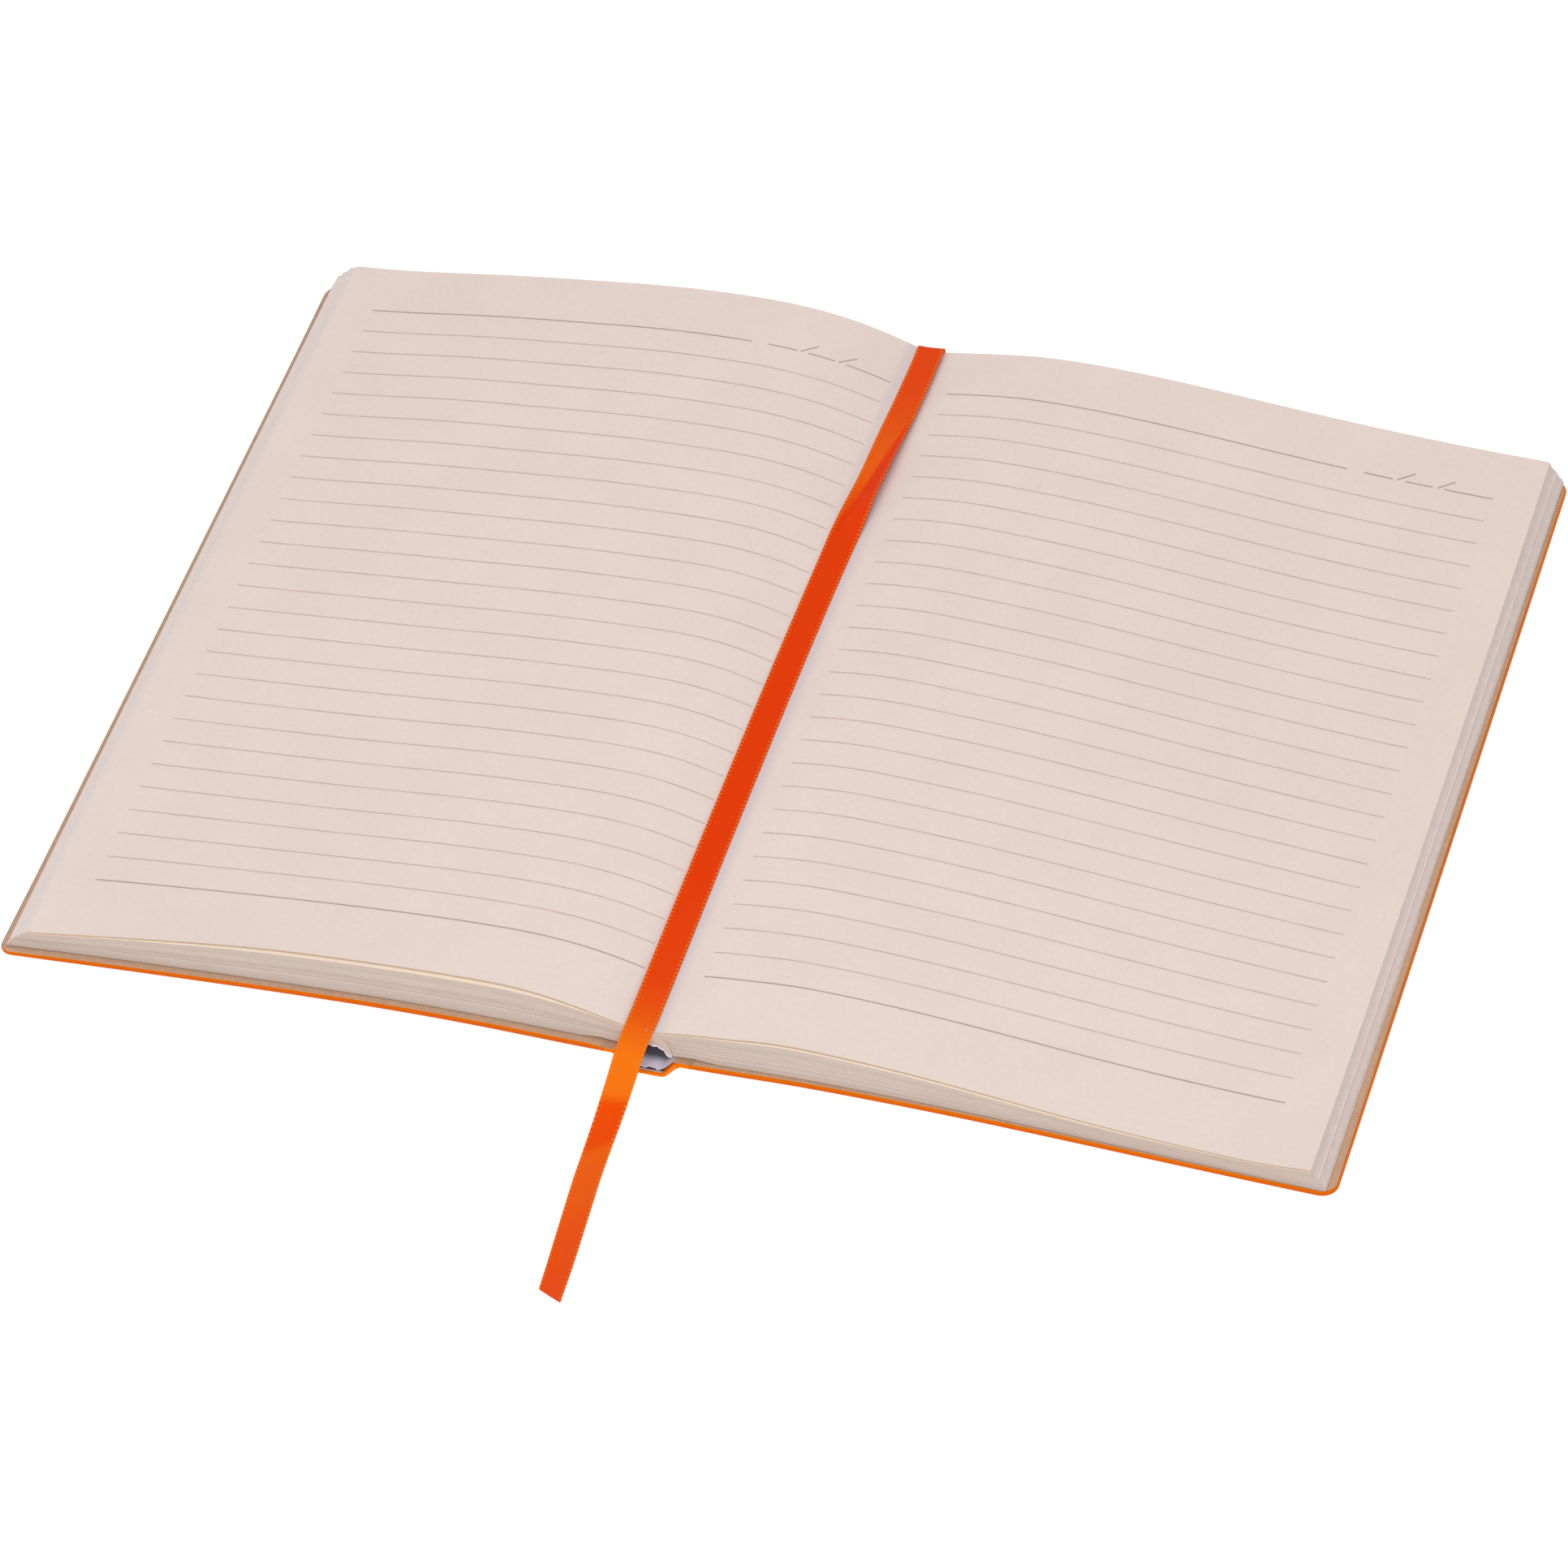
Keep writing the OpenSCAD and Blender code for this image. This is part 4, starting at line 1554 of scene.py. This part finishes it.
def make_liner(material):
    """Thin white paper over the card and up both walls, torn along the tail."""

    def edges(x):
        out = abs(x) / LINER_HALF_WIDTH
        start = -half_height + LINER_INSET[0] + LINER_TEAR * torn(x, 0.4) + LINER_SIDES * out**4
        return start, half_height - LINER_INSET[1]

    def floor(x, y):
        fading = math.exp(-(y + half_height - LINER_CURL_AT) / LINER_CURL_SPREAD)
        curl = LINER_CURL * fading * (1 + 0.5 * math.sin(2.3 * x))
        return cover_top(side_of(x), abs(x), y) + CARD_DEPTH + LINER_GAP + curl

    liner = make_layer(
        "spine_liner_paper",
        material,
        "book",
        spread_places(LINER_HALF_WIDTH, LINER_STEPS),
        edges,
        floor,
        lambda x, y: floor(x, y) + LINER_DEPTH,
        0.04,
    )
    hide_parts("spine_liner")


# Floor and light.

FLOOR_SIZE = 6
FLOOR_DROP = 0.0002


def make_floor():
    """A plain pale floor that also gives a little light of its own."""
    corners = ((-1, -1), (1, -1), (1, 1), (-1, 1))
    mesh = bpy.data.meshes.new("floor")
    points = [(x * FLOOR_SIZE, y * FLOOR_SIZE, -FLOOR_DROP) for x, y in corners]
    mesh.from_pydata(points, [], [(0, 1, 2, 3)])
    shader = Shader("pale_floor")
    shader.set(roughness=0.9, specular_ior_level=0.1)
    shader.surface.inputs["Base Color"].default_value = (0.2, 0.2, 0.2, 1)
    shader.surface.inputs["Emission Color"].default_value = (1, 1, 1, 1)
    shader.surface.inputs["Emission Strength"].default_value = 0.92
    mesh.materials.append(shader.material)
    floor = bpy.data.objects.new("floor", mesh)
    bpy.context.scene.collection.objects.link(floor)


def add_light(name, place, size, power):
    """A square light that shines on the middle of the notebook."""
    data = bpy.data.lights.new(name, "AREA")
    data.shape = "SQUARE"
    data.size = size
    data.energy = power
    light = bpy.data.objects.new(name, data)
    light.location = place
    light.rotation_euler = (-Vector(place)).to_track_quat("-Z", "Y").to_euler()
    bpy.context.scene.collection.objects.link(light)


def make_light():
    """Soft studio light from all round, the front and above."""
    world = bpy.data.worlds.new("studio")
    world.use_nodes = True
    background = world.node_tree.nodes["Background"]
    background.inputs["Color"].default_value = (0.97, 0.98, 1.0, 1)
    background.inputs["Strength"].default_value = 0.5
    bpy.context.scene.world = world
    add_light("front", (0.35, -1.3, 1.35), 1.1, 17)
    add_light("overhead", (-0.6, 0.5, 1.7), 1.3, 7)
    bpy.context.scene.view_settings.view_transform = "Standard"


make_camera()
make_light()
make_floor()

page_paper = paper_material("page_paper", colour(238, 220, 210), True)
leaf_paper = leaf_edge_material()
tan_paper = endpaper_material("endpaper_tan", False)
flyleaf_paper = endpaper_material("flyleaf_tan", True)
orange_cover = cover_material()
grey_card = plain_material("grey_card", colour(172, 167, 162), 800, 0.3)
# The second leaf is the page's paper painted lighter and warmer: painted warm bounce light.
second_lit_paper = paper_material("second_leaf_paper", colour(246, 226, 204), False)
thin_ink = ink_material("ruling_ink", colour(205, 182, 171))
bold_ink = ink_material("bold_ruling_ink", colour(182, 162, 153))

make_ribbon(ribbon_material())

for one_side in SIDES:
    make_page(one_side, page_paper)
    make_second_leaf(one_side, second_lit_paper)
    make_leaves(one_side, leaf_paper)
    make_ruling(one_side, thin_ink, bold_ink)
    make_cover(one_side, orange_cover)
    make_pastedown(one_side, tan_paper)
    make_board(one_side, grey_card)
    make_flyleaf(one_side, flyleaf_paper)
    make_joint(one_side, orange_cover)
    make_hinge_paper(one_side, tan_paper)
make_block_back(leaf_paper)

make_spine_skin(orange_cover)
make_card(card_material())
make_liner(liner_material())
make_lining(plain_material("block_lining_paper", colour(226, 221, 232), 700, 0.4))
